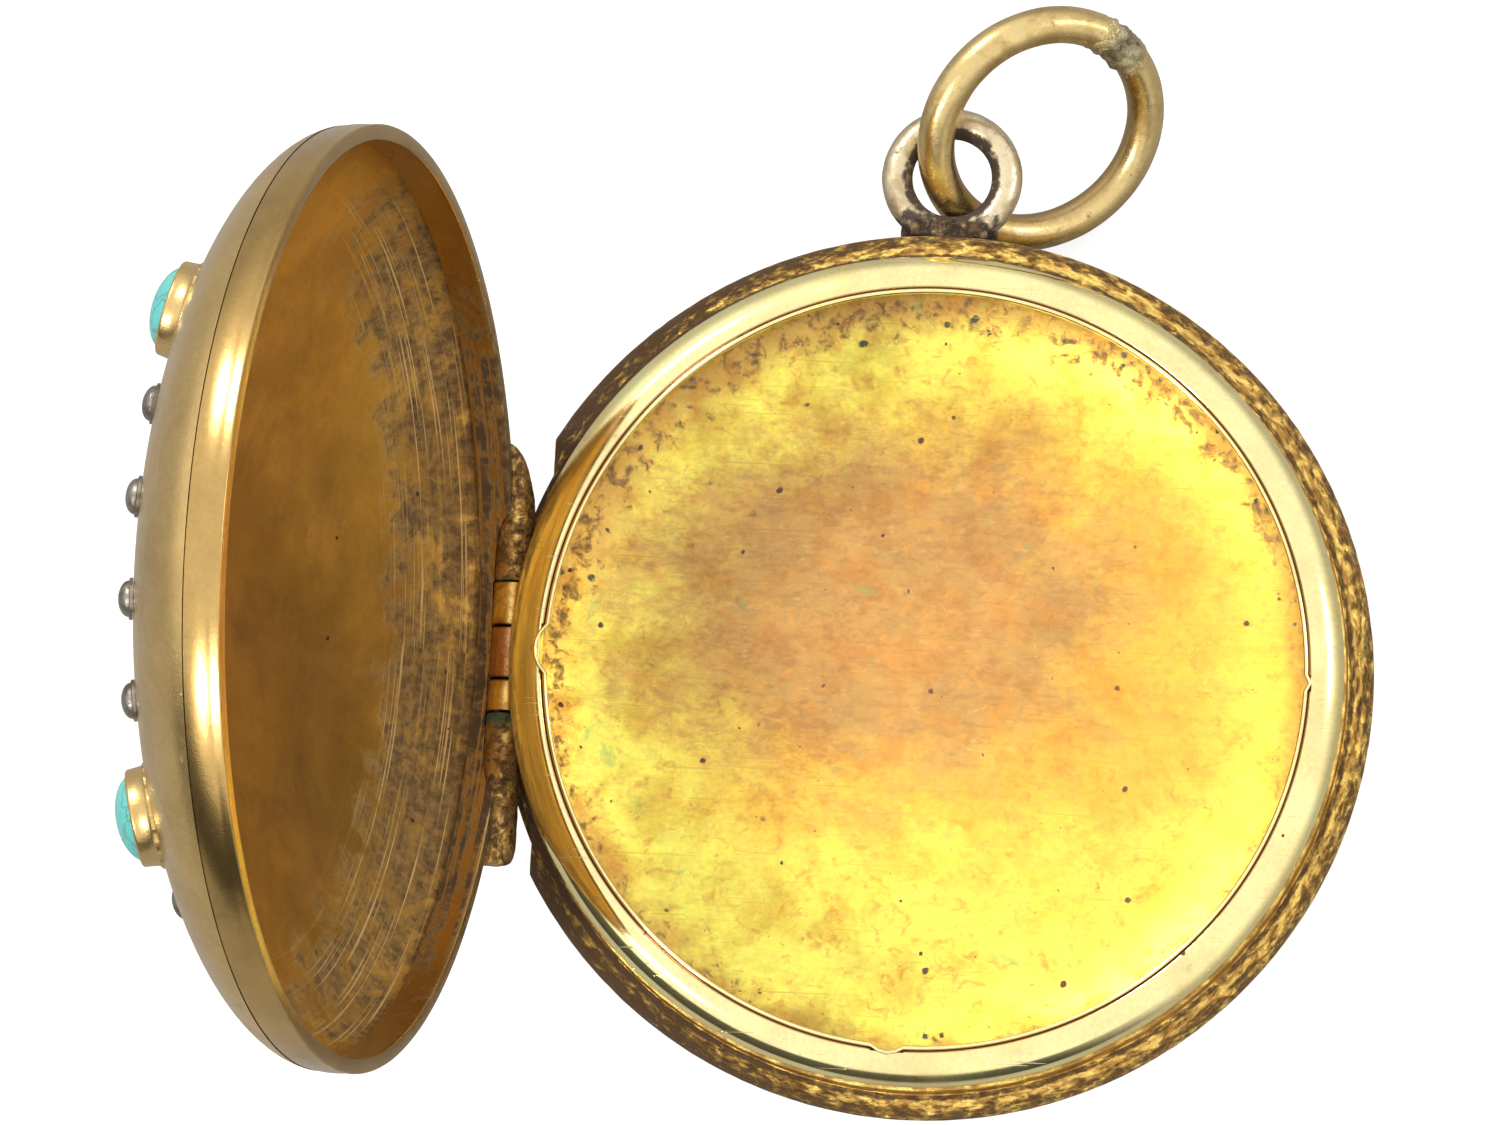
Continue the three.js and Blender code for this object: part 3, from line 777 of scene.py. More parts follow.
def pale_gold():
    """The bail: pale worn gold, with painted shade inside the loop, and dark at its foot."""
    finish = Finish("pale_gold")
    tree = finish.tree
    # Painted shade: the inside of the loop is darkened, standing for the shade on the loop's inner wall.
    hollow_shade = ring_mask(tree, finish.here, (LOOP_CENTRE - Vector((0, 0, PARTING_Z))) / MM,
                       (LOOP_R / MM - 0.06, LOOP_R / MM - 0.24))
    wobble = cloud(tree, finish.here, 2.2, 4.0, 0.6)
    from_case = maths(tree, "ADD", split(tree, finish.here)["Y"], wobble)
    low = step_between(tree, from_case, 12.25, 11.75)
    # This dirt amount carries the painted shade inside the loop as well as the dark foot.
    dirt = scaled(tree, maths(tree, "MAXIMUM", hollow_shade, low), 0.62, 0.14)
    patina = finish.use(PATINA, Clean=(0.80, 0.67, 0.44, 1), Stain=(0.50, 0.38, 0.22, 1),
                        Dirt=(0.07, 0.048, 0.032, 1), Stain_Size=0.9, Stain_Amount=0.42, Dirt_Size=0.4,
                        Dirt_Amount=dirt, Polish=0.22)
    finish.wear(patina, 0.02 * MM)
    return finish.material


def ring_mask(tree, coordinates, centre, reach):
    """1 near an upright axis through the centre, fading to 0 between the two distances, in millimetres."""
    flat = mapped(tree, coordinates, Location=(-centre[0], -centre[1], 0), Scale=(1, 1, 0))
    return step_between(tree, vector_maths(tree, "LENGTH", flat), reach[0], reach[1])


def solder_gold():
    """The bail's foot: solder gone dark."""
    finish = Finish("solder_gold")
    patina = finish.use(PATINA, Clean=(0.50, 0.37, 0.20, 1), Stain=(0.20, 0.12, 0.06, 1),
                        Dirt=(0.03, 0.02, 0.012, 1), Stain_Size=0.4, Stain_Amount=0.6, Dirt_Size=0.25,
                        Dirt_Amount=0.6, Polish=0.3)
    finish.wear(patina, 0.04 * MM)
    return finish.material


def wire_gold():
    """The jump ring: drawn gold wire, softly polished, with pitted solder at its seam and painted shade on
    its inner side.
    """
    finish = Finish("wire_gold")
    tree = finish.tree
    parting = Vector((0, 0, PARTING_Z))
    from_seam = vector_maths(tree, "DISTANCE", finish.here, (RING_SEAM - parting) / MM)
    from_middle = vector_maths(tree, "DISTANCE", finish.here, (RING_CENTRE - parting) / MM)
    pits = cloud(tree, finish.here, 4.5, 6.0, 0.75)
    solder = step_between(tree, scaled(tree, pits, 0.9, from_seam), 1.35, 1.0)
    # Painted shade: the wire's inner side, nearest the ring's middle, is darkened, and the clean colour
    # carries this into the patina.
    bore = step_between(tree, scaled(tree, pits, 0.25, from_middle), 2.78, 2.55)
    clean = blend_colour(tree, solder, (0.76, 0.57, 0.25, 1), (0.62, 0.55, 0.33, 1))
    clean = blend_colour(tree, times(tree, bore, 0.6), clean, (0.34, 0.22, 0.09, 1))
    stain = blend_colour(tree, solder, (0.54, 0.36, 0.14, 1), (0.24, 0.20, 0.12, 1))
    patina = finish.use(PATINA, Clean=clean, Stain=stain, Dirt=(0.08, 0.055, 0.03, 1), Stain_Size=0.9,
                        Stain_Amount=0.42, Dirt_Size=0.35, Dirt_Amount=scaled(tree, solder, 0.28, 0.08),
                        Polish=0.19)
    scratches = finish.use(SCRATCHES, Amount=0.5)["Mask"]
    finish.feed("Base Color", patina["Colour"])
    finish.feed("Roughness", scaled(tree, scratches, 0.15, patina["Roughness"]))
    finish.feed("Metallic", patina["Metallic"])
    pitted = times(tree, solder, pits)
    finish.bump(scaled(tree, pitted, 9.0, patina["Height"]), 0.012 * MM)
    return finish.material


def knuckle_gold(name, clean):
    """A knuckle: bright gold, with dirt in its joints and a little verdigris."""
    finish = Finish(name)
    tree = finish.tree
    patina = finish.use(PATINA, Clean=clean, Stain=(0.46, 0.24, 0.07, 1), Dirt=(0.05, 0.03, 0.016, 1),
                        Stain_Size=0.5, Stain_Amount=0.35, Dirt_Size=0.3, Dirt_Amount=0.16, Polish=0.2)
    verdigris = finish.use(SPECKS, Spacing=0.45, Size=0.2, Amount=0.22)["Mask"]
    colour = blend_colour(tree, times(tree, verdigris, 0.7), patina["Colour"], (0.04, 0.20, 0.13, 1))
    along = maths(tree, "ABSOLUTE", split(tree, finish.here)["Y"])
    from_joint = maths(tree, "ABSOLUTE", maths(tree, "SUBTRACT", along, 0.66))
    joint = step_between(tree, from_joint, 0.09, 0.03)
    colour = blend_colour(tree, times(tree, joint, 0.85), colour, (0.03, 0.02, 0.012, 1))
    finish.feed("Base Color", colour)
    finish.feed("Roughness", scaled(tree, verdigris, 0.3, patina["Roughness"]))
    metal = scaled(tree, verdigris, -0.7, patina["Metallic"], clamp=True)
    finish.feed("Metallic", metal)
    finish.bump(patina["Height"], 0.02 * MM)
    return finish.material


def dark_bead_metal():
    """The little balls: dark oxidised metal."""
    finish = Finish("dark_bead", of_front=True)
    patina = finish.use(PATINA, Clean=(0.34, 0.30, 0.25, 1), Stain=(0.16, 0.13, 0.10, 1),
                        Dirt=(0.03, 0.025, 0.02, 1), Stain_Size=0.4, Stain_Amount=0.4, Dirt_Size=0.3,
                        Dirt_Amount=0.2, Polish=0.3)
    finish.wear(patina, 0.015 * MM)
    return finish.material


def turquoise_stone():
    """Turquoise: waxy blue-green with faint paler clouds and fine brown veins."""
    finish = Finish("turquoise_stone", of_front=True)
    tree = finish.tree
    clouds = cloud(tree, finish.here, 1.2, 4.0, 0.6, 0.4)
    veins = tree.nodes.new("ShaderNodeTexVoronoi")
    veins.feature = "DISTANCE_TO_EDGE"
    warp = cloud(tree, finish.here, 2.0, 4.0, 0.6)
    wire(tree, vector_maths(tree, "ADD", finish.here, warp), veins.inputs["Vector"])
    veins.inputs["Scale"].default_value = 0.9
    vein = step_between(tree, veins.outputs["Distance"], 0.03, 0.0)
    colour = blend_colour(tree, clouds, (0.07, 0.44, 0.42, 1), (0.20, 0.62, 0.57, 1))
    colour = blend_colour(tree, times(tree, vein, 0.5), colour, (0.16, 0.12, 0.06, 1))
    finish.feed("Base Color", colour)
    finish.feed("Roughness", scaled(tree, clouds, 0.15, 0.18))
    finish.shader.inputs["Subsurface Weight"].default_value = 0.1
    finish.shader.inputs["Subsurface Scale"].default_value = 0.2 * MM
    finish.bump(times(tree, vein, -1.0), 0.01 * MM)
    return finish.material


# ---- The back ------------------------------------------------------------------------------------

def make_back_shell():
    """The stamped dish of the back, with its rounded wall and its slightly bowed floor."""
    outside = arc((REST_R, SHELL_TOP_Z), (SHELL_R - REST_R, SHELL_TOP_Z), -90, 0, 16)
    bore = SHELL_R - BACK_SHEET
    inside = arc((REST_R - 0.9 * MM, SHELL_TOP_Z), (bore - REST_R + 0.9 * MM, SHELL_TOP_Z - BACK_SHEET), 0,
                 -90, 18)
    bow = 0.12 * MM
    floor = [(inside[-1][0] * (1 - i / 10), BACK_SHEET + bow * (1 - (1 - i / 10) ** 2)) for i in range(1, 11)]
    base = [(REST_R * i / 6, 0.0) for i in range(6)]
    shell = turned("back_dish", base + outside + inside + floor)

    def is_inside(co):
        radius = math.hypot(co.x, co.y)
        if radius < REST_R:
            return co.z > BACK_SHEET / 2
        return math.hypot((radius - REST_R) / (SHELL_R - REST_R), (co.z - SHELL_TOP_Z) / SHELL_TOP_Z) < 0.95

    mark_points(shell, "inside", is_inside)
    return smooth(shell, 40)


def make_back_rim():
    """The rim with its worn flange, and the hinge bay cut out of it."""
    worn = 0.05 * MM
    low = PARTING_Z - FLANGE_T
    section = [(SEAT_R, RIM_FOOT_Z), (SHELL_R, RIM_FOOT_Z), (SHELL_R, low - 0.02 * MM)]
    section += arc((CASE_R - 2 * worn, low + 2 * worn), (2 * worn, 2 * worn), -90, 0, 5)
    section += arc((CASE_R - 1.5 * worn, PARTING_Z - 1.5 * worn), (1.5 * worn, 1.5 * worn), 0, 90, 5)
    flange_steps = 7
    inner = SNAP_R + worn
    outer = CASE_R - 1.5 * worn
    for i in range(1, flange_steps + 1):
        sag = 0.3 * worn * math.sin(math.pi * i / flange_steps)
        section.append((outer + (inner - outer) * i / flange_steps, PARTING_Z - sag))
    section += arc((SNAP_R - worn, SNAP_TOP_Z - worn), (worn, worn), 0, 90, 4)
    section += arc((SEAT_R + worn, SNAP_TOP_Z - worn), (worn, worn), 90, 180, 4)
    section.append(section[0])
    rim = turned("case_rim", section, RIM_STEPS)
    corner, top = (-CASE_R - MM, -BAY_HALF, PARTING_Z - BAY_DEPTH), SNAP_TOP_Z + MM
    bay = block("bay", corner, (BAY_INNER_X, BAY_HALF, top))
    cut_away(bay, disc("keep", SNAP_R + HAIRLINE, PARTING_Z))
    cut_away(rim, bay)
    cut_away(rim, block("outboard", corner, (HINGE_AXIS.x, BAY_HALF, top)))
    cut_away(rim, rod("trough", KNUCKLE_R + TROUGH_GAP, -BAY_HALF, BAY_HALF, HINGE_AXIS.x, HINGE_AXIS.z))
    roughen(rim, 0.25 * MM, 0.03 * MM)
    return smooth(rim, 40)


# ---- The picture frame and its glass -------------------------------------------------------------

def make_picture_frame():
    """The convex frame: a fine lip with a groove behind it, a rolled crown, an upright edge and the skirt."""
    foot = FRAME_FOOT_Z
    brim = SNAP_TOP_Z + 2 * HAIRLINE
    bore = SKIRT_R - SHEET
    crown_r, crown_z = LIP_R + 0.20 * MM, PARTING_Z + 0.72 * MM
    crown = arc((crown_r, crown_z), (FRAME_R - crown_r, FRAME_TOP_Z - crown_z - 0.03 * MM), 35, 90, 22)
    edge_r = crown[0][0] + 0.015 * MM
    bead = 0.06 * MM
    lip = arc((LIP_R + bead, FRAME_TOP_Z - bead), (bead, bead), 40, 200, 9)
    section = [(bore, foot), (SKIRT_R - 0.03 * MM, foot), (SKIRT_R, foot + 0.05 * MM), (SKIRT_R, brim),
               (edge_r - 0.02 * MM, brim), (edge_r, brim + 0.02 * MM), (edge_r, crown[0][1] - 0.03 * MM)]
    section += crown
    section += [(LIP_R + 0.15 * MM, FRAME_TOP_Z - 0.05 * MM), (LIP_R + 0.125 * MM, FRAME_TOP_Z - 0.09 * MM)]
    section += lip
    section += [(LIP_R, FRAME_TOP_Z - 0.2 * MM), (LIP_R + 0.01 * MM, GLASS_TOP_Z + HAIRLINE),
                (bore, GLASS_TOP_Z + HAIRLINE), (bore, foot)]
    ring = turned("glass_frame", section, RIM_STEPS)
    # The groove's points are marked so that the frame's finish can paint a dark reflection into them.
    mark_points(ring, "groove", lambda co: (co.z > GLASS_TOP_Z and LIP_R + 0.11 * MM < math.hypot(co.x, co.y)
                                            < LIP_R + 0.16 * MM))
    for degrees, width, depth in ((180.0, 3.4, 0.26 * MM), (-92.5, 1.5, 0.15 * MM), (0.0, 1.1, 0.10 * MM)):
        push_lip(ring, degrees, width, depth)
    return smooth(ring, 50)


def push_lip(ring, degrees, half_width, depth):
    """Pushes the lip outwards as a half-round, at one of the ring's columns of points."""
    towards = Vector((math.cos(math.radians(degrees)), math.sin(math.radians(degrees)), 0))
    reach = LIP_R + 0.18 * MM
    columns = int(half_width / 360 * RIM_STEPS)
    for column in range(-columns, columns + 1):
        angle = math.radians(degrees) + 2 * math.pi * column / RIM_STEPS
        spot = Vector((math.cos(angle), math.sin(angle), 0))
        share = math.sqrt(max(0.0, 1 - (column / (columns + 0.5)) ** 2))
        edit(ring, lambda co: (co.z > GLASS_TOP_Z and math.hypot(co.x, co.y) < reach
                               and abs(co.x * spot.y - co.y * spot.x) < 0.04 * MM and co.dot(spot) > 0))
        bpy.ops.transform.translate(value=towards * depth * share)
        close_edit()


def make_glass():
    """A thin pane with a ground edge."""
    edge = 0.06 * MM
    outline = [(0, GLASS_LOW_Z), (GLASS_R / 2, GLASS_LOW_Z)]
    outline += arc((GLASS_R - edge, GLASS_LOW_Z + edge), (edge, edge), -90, 0, 4)
    outline += arc((GLASS_R - edge, GLASS_TOP_Z - edge), (edge, edge), 0, 90, 4)
    outline += [(GLASS_R / 2, GLASS_TOP_Z), (0, GLASS_TOP_Z)]
    return smooth(turned("window_glass", outline), 30)


# ---- The hinge -----------------------------------------------------------------------------------

def make_knuckle(node, name):
    """A bored knuckle with softened ends."""
    low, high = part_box(node)
    start, end = low.y, high.y
    tube = rod(name, KNUCKLE_R, start, end, HINGE_AXIS.x, HINGE_AXIS.z)
    cut_away(tube, rod("bore", PIN_R + 0.03 * MM, start - MM, end + MM, HINGE_AXIS.x, HINGE_AXIS.z, 32))
    modify(tube, "BEVEL", width=0.045 * MM, segments=3, limit_method="ANGLE")
    return smooth(tube, 40)


def make_pin():
    """The pin, with its ends riveted over into small domes."""
    low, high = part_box("hinge_pin")
    dome = arc((0, high.y - 0.04 * MM), (PIN_R, 0.04 * MM), 0, 90, 4)
    foot = arc((0, low.y + 0.04 * MM), (PIN_R, 0.04 * MM), -90, 0, 4)
    pin = turned("hinge_rivet", foot + dome, 32)
    place(pin, Matrix.Translation((HINGE_AXIS.x, 0, HINGE_AXIS.z)) @ Matrix.Rotation(-math.pi / 2, 4, "X"))
    return smooth(pin, 40)


def taper_end(bar, side, length, least):
    """Files a bearing's far end down towards the front's rim."""
    slices = 22
    centre = (HINGE_AXIS.x + 0.6 * MM, 0, PARTING_Z + 0.25 * MM)
    for i in range(slices):
        low = BEARING_END - length + length * i / slices
        high = low + length / slices if i + 1 < slices else BEARING_END + MM
        share = (i + 1) / slices
        size = least + (1 - least) * math.sqrt(1 - share * share)
        edit(bar, lambda co: low <= side * co.y < high)
        bpy.ops.transform.resize(value=(size, 1, size), center_override=centre)
        close_edit()


def make_bearing(name, side):
    """A filed bar beside the knuckles, with a web in to the front's rim. The upper one is on side 1."""
    y0, y1 = (UPPER_BEARING_START, BEARING_END) if side > 0 else (-BEARING_END, -LOWER_BEARING_START)
    bar = rod(name, KNUCKLE_R, y0, y1, HINGE_AXIS.x, HINGE_AXIS.z, 40)
    web = block("web", (HINGE_AXIS.x - 0.2 * MM, y0, PARTING_Z + HAIRLINE),
                (HINGE_AXIS.x + 1.2 * MM, y1, PARTING_Z + 0.42 * MM))
    cut_away(web, disc("rim_edge", FRONT_RIM_R + HAIRLINE, PARTING_Z))
    cut_away(bar, web, "UNION")
    modify(bar, "REMESH", mode="VOXEL", voxel_size=0.045 * MM)
    modify(bar, "SMOOTH", factor=0.5, iterations=2)
    taper_end(bar, side, 2.2 * MM if side > 0 else 0.5 * MM, 0.06 if side > 0 else 0.75)
    modify(bar, "SMOOTH", factor=0.6, iterations=9)
    roughen(bar, 0.3 * MM, 0.06 * MM, 0.7 * MM * side)
    return smooth(bar, 60)


# ---- The front -----------------------------------------------------------------------------------

def dome_radius(height, radius, rise):
    """The radius at a height above the parting plane, of a dome with this radius and rise."""
    share = (height - DOME_START) / rise
    return radius * max(0.0, 1 - share * share) ** DOME_POWER


def dome_height(radius):
    """The height of the dome's outside above the parting plane, at a radius."""
    return DOME_START + DOME_RISE * math.sqrt(max(0.0, 1 - (radius / DOME_R) ** (1 / DOME_POWER)))


def dome_curve(radius, rise, start, steps):
    """The dome's outline from a height above the parting plane up to the axis."""
    first = math.asin((start - DOME_START) / rise)
    line = []
    for i in range(steps):
        angle = first + (i / steps) * (math.pi / 2 - first)
        height = DOME_START + rise * math.sin(angle)
        line.append((dome_radius(height, radius, rise), PARTING_Z + height))
    return line + [(0.0, PARTING_Z + DOME_START + rise)]


def make_front_dome():
    """The domed front, with its inside marked for the finish."""
    start = FRONT_RIM_H + HAIRLINE
    outside = dome_curve(DOME_R, DOME_RISE, start, 40)
    inside = dome_curve(DOME_R - SHEET, DOME_RISE - SHEET, start, 40)
    dome = turned("domed_front", inside[::-1] + outside)

    def is_inside(co):
        radius = min(math.hypot(co.x, co.y), DOME_R)
        return dome_height(radius) - (co.z - PARTING_Z) > 0.4 * SHEET

    mark_points(dome, "inside", is_inside)
    return smooth(place(dome, OPENED), 40)


def make_front_rim():
    """The front's rim, slightly crowned, with room for the bearings and the back's knuckles."""
    worn = 0.04 * MM
    low, high = PARTING_Z + HAIRLINE, PARTING_Z + FRONT_RIM_H
    section = arc((FRONT_RIM_BORE + worn, low + worn), (worn, worn), 180, 270, 3)
    section += arc((FRONT_RIM_R - worn, low + worn), (worn, worn), -90, 0, 3)
    crown = 0.05 * MM
    section += [(FRONT_RIM_R - crown * (i / 5 - 1) ** 2, low + (high - low) * i / 10) for i in range(2, 11)]
    section += [(FRONT_RIM_BORE, high - (high - low) * i / 6) for i in range(0, 6)]
    section.append(section[0])
    rim = turned("front_bezel", section, RIM_STEPS)
    half = BEARING_END + HAIRLINE
    cut_away(rim, rod("bar_room", KNUCKLE_R + HAIRLINE, -half, half, HINGE_AXIS.x, HINGE_AXIS.z))
    for start, end in ((FRONT_KNUCKLE_END, UPPER_BEARING_START), (-UPPER_BEARING_START, -FRONT_KNUCKLE_END)):
        cut_away(rim, rod("knuckle_room", KNUCKLE_R + TROUGH_GAP, start, end, HINGE_AXIS.x, HINGE_AXIS.z))
    roughen(rim, 1.2 * MM, 0.012 * MM)
    return smooth(place(rim, OPENED), 40)


def on_dome(pitch_radius, degrees):
    """Stands a piece drawn about Z upright on the dome, then turns it open with the front."""
    step = 0.01 * MM
    slope = 0.0
    if pitch_radius > step:
        slope = (dome_height(pitch_radius + step) - dome_height(pitch_radius - step)) / (2 * step)
    stand = Matrix.Translation((pitch_radius, 0, PARTING_Z + dome_height(pitch_radius)))
    return (OPENED @ Matrix.Rotation(math.radians(degrees), 4, "Z") @ stand
            @ Matrix.Rotation(-math.atan(slope), 4, "Y"))


def make_collet():
    """A rubbed-over setting: a band with a milled foot."""
    bore = 0.97 * MM
    section = [(bore - 0.15 * MM, -0.14 * MM), (bore + 0.23 * MM, -0.14 * MM), (bore + 0.23 * MM, 0.02 * MM),
               (bore + 0.15 * MM, 0.08 * MM), (bore + 0.12 * MM, 0.34 * MM)]
    section += arc((bore + 0.05 * MM, 0.38 * MM), (0.07 * MM, 0.07 * MM), 0, 150, 6)
    section += [(bore, 0.30 * MM), (bore, 0.16 * MM), (bore - 0.15 * MM, 0.16 * MM),
                 (bore - 0.15 * MM, -0.14 * MM)]
    collet = turned("setting", section, SMALL_STEPS)
    edit(collet, lambda co: co.z < 0.05 * MM and math.hypot(co.x, co.y) > bore + 0.2 * MM
         and int((math.atan2(co.y, co.x) / math.tau + 1) * SMALL_STEPS + 0.5) % 2 == 0)
    bpy.ops.transform.resize(value=(0.96, 0.96, 1), center_override=(0, 0, 0))
    close_edit()
    return smooth(collet, 40)


def make_cabochon():
    """A round domed stone with a flat base."""
    radius, base, girdle = 0.955 * MM, 0.18 * MM, 0.34 * MM
    outline = [(0, base), (radius * 0.6, base), (radius, base), (radius, girdle)]
    outline += arc((0, girdle), (radius, 0.5 * MM), 0, 90, 14)[1:]
    stone = turned("stone", outline, SMALL_STEPS)
    return smooth(stone, 50)


def make_bead():
    """A small ball standing on its own foot."""
    radius = 0.45 * MM
    outline = [(0, 0.0), (radius * 1.02, 0.0), (radius * 1.02, 0.07 * MM), (radius * 0.9, 0.09 * MM)]
    outline += arc((0, 0.09 * MM), (radius * 0.88, 0.23 * MM), 0, 90, 8)
    return smooth(turned("bead", outline, 24), 40)


# ---- Bail and jump ring --------------------------------------------------------------------------

def torus(name, mean_radius, wire_radius, steps, sides):
    """A ring of round wire about Z."""
    bpy.ops.object.select_all(action="DESELECT")
    bpy.ops.mesh.primitive_torus_add(major_radius=mean_radius, minor_radius=wire_radius, major_segments=steps,
                                     minor_segments=sides)
    return named(name)


def make_bail_loop():
    """The loop, filed to the case where it is soldered."""
    loop = torus("hanging_loop", LOOP_R, LOOP_WIRE_R, 96, 24)
    place(loop, Matrix.Translation(LOOP_CENTRE))
    cut_away(loop, disc("case", CASE_R + HAIRLINE, LOOP_CENTRE.z))
    roughen(loop, 0.5 * MM, 0.035 * MM)
    return smooth(loop, 40)


def make_bail_foot():
    """The solder that holds the loop: a dark mound that spreads on the case and climbs round the wire."""
    low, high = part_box("bail_foot")
    foot = block("solder_foot", (low.x, low.y - 0.2 * MM, low.z), (high.x, high.y + 0.12 * MM, high.z))
    mound = block("mound", (-0.95 * MM, CASE_R, LOOP_CENTRE.z - 0.34 * MM),
                  (0.95 * MM, CASE_R + 0.42 * MM, LOOP_CENTRE.z + 0.40 * MM))
    cut_away(foot, mound, "UNION")
    cut_away(foot, disc("case", SHELL_R + HAIRLINE, LOOP_CENTRE.z))
    modify(foot, "REMESH", mode="VOXEL", voxel_size=0.05 * MM)
    modify(foot, "SMOOTH", factor=0.6, iterations=4)
    roughen(foot, 0.35 * MM, 0.12 * MM)
    return smooth(foot, 60)


def make_jump_ring():
    """The loose ring, with a lumpy solder seam."""
    ring = torus("loose_ring", JUMP_RING_R, JUMP_WIRE_R, 240, 36)
    place(ring, Matrix.Translation(RING_CENTRE)
          @ Vector((0, 0, 1)).rotation_difference(RING_NORMAL).to_matrix().to_4x4())
    group = ring.vertex_groups.new(name="seam")
    for point in ring.data.vertices:
        share = max(0.0, 1 - (point.co - RING_SEAM).length / MM)
        group.add([point.index], min(1.0, 2 * share), "REPLACE")
    lumps = bpy.data.textures.new("seam_lumps", "CLOUDS")
    lumps.noise_scale = 0.2 * MM
    lumps.noise_depth = 3
    modify(ring, "DISPLACE", texture=lumps, texture_coords="LOCAL", strength=0.26 * MM, mid_level=0.42,
           vertex_group="seam")
    roughen(ring, 0.9 * MM, 0.02 * MM)
    return smooth(ring, 60)


# ---- Putting it together -------------------------------------------------------------------------

def build():
    """Makes every piece and puts it in its node's place."""
    yellow = knuckle_gold("knuckle_gold", (0.92, 0.62, 0.18, 1))
    copper = knuckle_gold("copper_knuckle", (0.62, 0.30, 0.14, 1))
    pale, outer = pale_gold(), front_gold()
    stands_for(make_back_shell(), "back_shell", "case_back", dish_gold())
    stands_for(make_back_rim(), "back_rim", "case_back", worn_gold())
    stands_for(make_picture_frame(), "picture_frame", "frame", mirror_gold())
    stands_for(make_glass(), "glass", "frame", old_glass())
    for node, name, body, metal in (("knuckle_back_upper", "upper_knuckle", "case_back", yellow),
                                    ("knuckle_back_lower", "lower_knuckle", "case_back", yellow),
                                    ("knuckle_front", "front_knuckle", "front", copper)):
        stands_for(make_knuckle(node, name), node, body, metal)
    stands_for(make_pin(), "hinge_pin", "case_back", yellow)
    bearings = bearing_gold()
    for node, name, side in (("bearing_upper", "upper_bearing", 1), ("bearing_lower", "lower_bearing", -1)):
        stands_for(place(make_bearing(name, side), OPENED), node, "front", bearings)
    stands_for(make_front_dome(), "front_dome", "front", outer)
    stands_for(make_front_rim(), "front_rim", "front", rim_gold())
    collet, stone, bead = make_collet(), make_cabochon(), make_bead()
    stone_finish, bead_finish = turquoise_stone(), dark_bead_metal()
    settings = [("centre", 0.0, 0)] + [(str(i + 1), STONE_RING, 45 + 90 * i) for i in range(4)]
    for label, pitch_radius, degrees in settings:
        spot = on_dome(pitch_radius, degrees)
        for pattern, name, node, slot, finish in (
                (collet, "setting_", "collet_", "outer_gold", outer),
                (stone, "stone_", "turquoise_", "turquoise", stone_finish)):
            stands_for(place(copy_of(pattern, name + label), spot), node + label, "front", finish)
    for i in range(BEADS):
        spot = on_dome(BEAD_RING, 90 * (i // 4) + (i % 4 - 1.5) * BEAD_SPACING)
        stands_for(place(copy_of(bead, f"ball_{i + 1}"), spot), f"bead_{i + 1}", "front",
                   bead_finish)
    for pattern in (collet, stone, bead):
        bpy.data.objects.remove(pattern)
    stands_for(make_bail_loop(), "bail_loop", "case_back", pale)
    stands_for(make_bail_foot(), "bail_foot", "case_back", solder_gold())
    stands_for(make_jump_ring(), "jump_ring", "ring", wire_gold())


# ---- Studio --------------------------------------------------------------------------------------

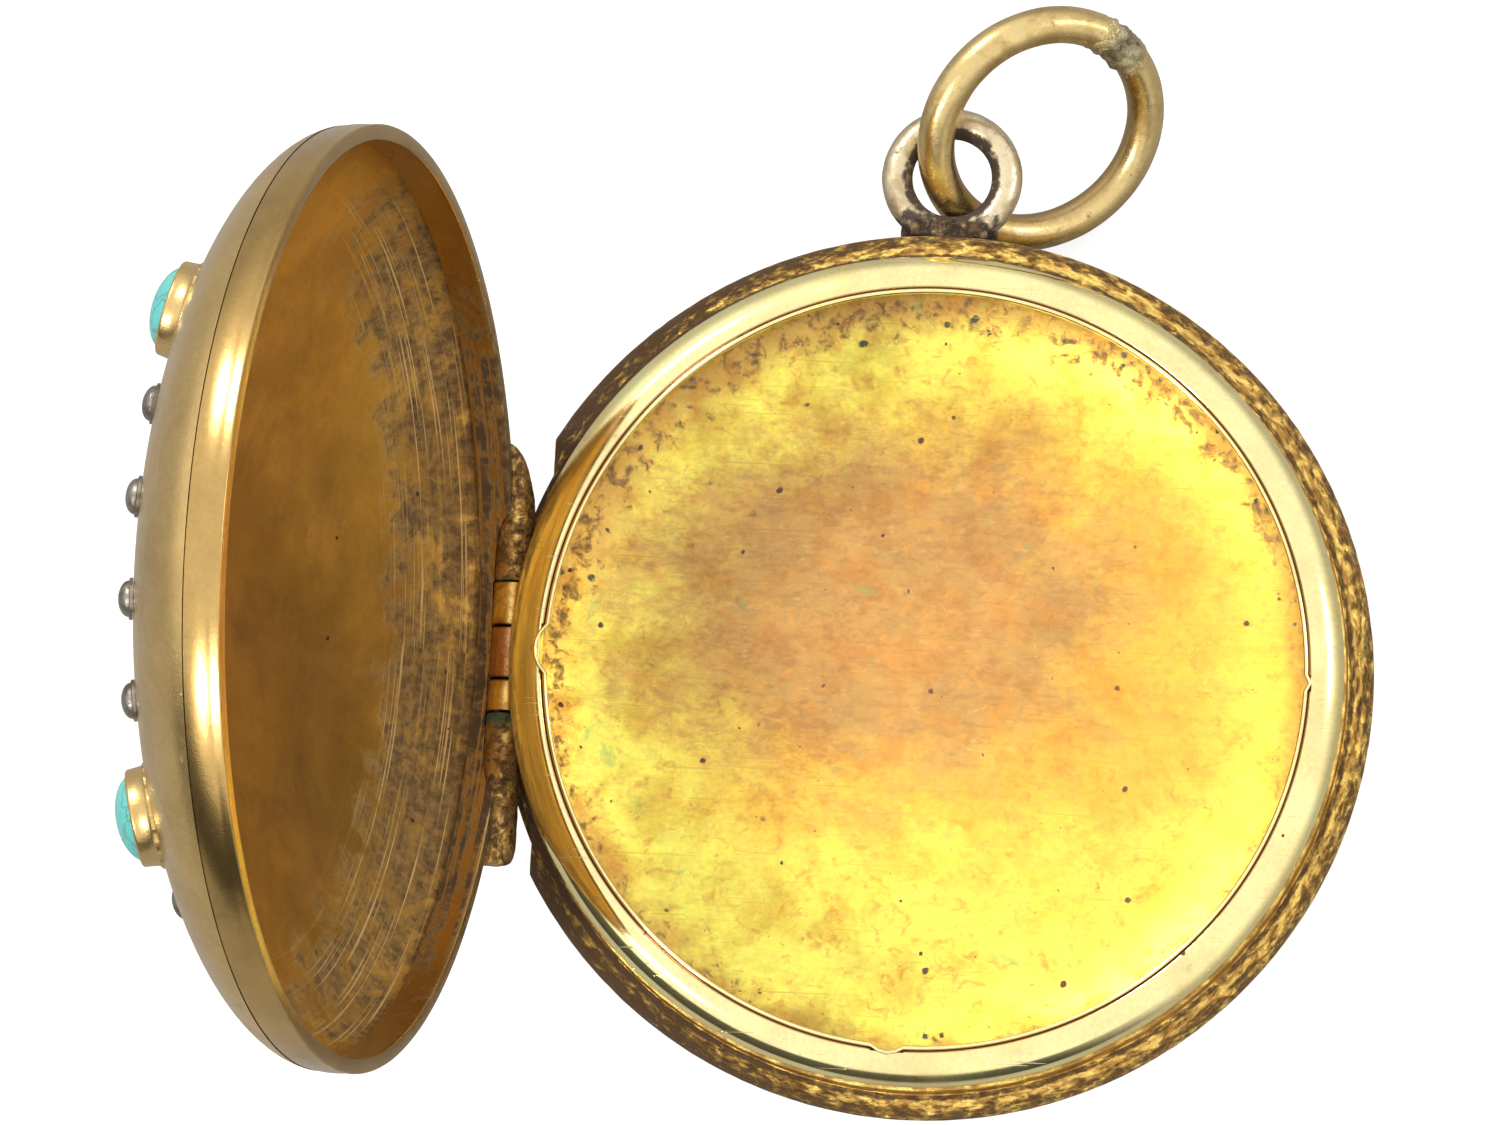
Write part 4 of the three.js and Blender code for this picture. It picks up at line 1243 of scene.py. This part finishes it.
def make_studio():
    """A pale floor, white surroundings with a dark patch that only reflections see, and soft lights."""
    bpy.ops.object.select_all(action="DESELECT")
    bpy.ops.mesh.primitive_plane_add(size=1.2, location=(0, 0, 0))
    floor = named("pale_floor")
    finish = bpy.data.materials.new("pale_floor")
    finish.use_nodes = True
    tree = finish.node_tree
    shader = tree.nodes["Principled BSDF"]
    shader.inputs["Base Color"].default_value = (0.32, 0.32, 0.32, 1)
    shader.inputs["Roughness"].default_value = 0.9
    seen = tree.nodes.new("ShaderNodeEmission")
    seen.inputs["Strength"].default_value = 0.8
    both = tree.nodes.new("ShaderNodeAddShader")
    light = tree.nodes.new("ShaderNodeLightPath")
    wire(tree, shader.outputs["BSDF"], both.inputs[0])
    wire(tree, seen.outputs["Emission"], both.inputs[1])
    either = choose(tree, light.outputs["Is Camera Ray"], shader.outputs["BSDF"], both.outputs["Shader"])
    wire(tree, either, tree.nodes["Material Output"].inputs["Surface"])
    floor.data.materials.append(finish)

    world = bpy.data.worlds.new("tent")
    bpy.context.scene.world = world
    world.use_nodes = True
    tree = world.node_tree
    background = tree.nodes["Background"]
    x, y, z = split(tree, tree.nodes.new("ShaderNodeTexCoord").outputs["Generated"])
    low = times(tree, step_between(tree, z, 0.54, 0.45), step_between(tree, z, 0.0, 0.06))
    near = scaled(tree, x, -0.34, times(tree, y, -0.94))
    gap = times(tree, low, step_between(tree, near, 0.35, 0.75))
    light = tree.nodes.new("ShaderNodeLightPath")
    gap = times(tree, gap, maths(tree, "SUBTRACT", 1.0, light.outputs["Is Camera Ray"]))
    sky = scaled(tree, step_between(tree, z, 0.0, 0.5), 0.55, 0.62)
    dimmed = times(tree, sky, scaled(tree, gap, -0.9, 1.0))
    wire(tree, dimmed, background.inputs["Strength"])
    background.inputs["Color"].default_value = (0.97, 0.97, 0.97, 1)

    aim = Vector((0, 0, 4 * MM))
    for name, location, size, power in (("far_box", (-0.145, 0.19, 0.215), 0.045, 0.3),
                                        ("near_box", (-0.152, -0.14, 0.25), 0.045, 0.3),
                                        ("right_box", (0.25, 0.06, 0.175), 0.07, 0.1)):
        data = bpy.data.lights.new(name, "AREA")
        data.shape = "DISK"
        data.size = size
        data.energy = power
        lamp = bpy.data.objects.new(name, data)
        lamp.location = location
        lamp.rotation_euler = (aim - lamp.location).to_track_quat("-Z", "Y").to_euler()
        bpy.context.scene.collection.objects.link(lamp)


def make_camera():
    """Looks almost straight down into the open locket."""
    data = bpy.data.cameras.new("camera")
    data.sensor_width = 36
    data.lens = 124.28
    data.clip_start = 0.005
    data.clip_end = 5
    camera = bpy.data.objects.new("camera", data)
    camera.location = Vector((6.745, -13.938, 127.105)) * MM + Vector((0, 0, PARTING_Z))
    camera.rotation_euler = [math.radians(a) for a in (7.633, 4.646, 3.166)]
    bpy.context.scene.collection.objects.link(camera)
    bpy.context.scene.camera = camera


make_camera()
make_studio()
build()
bpy.context.scene.view_settings.view_transform = "Standard"
bpy.ops.object.select_all(action="DESELECT")
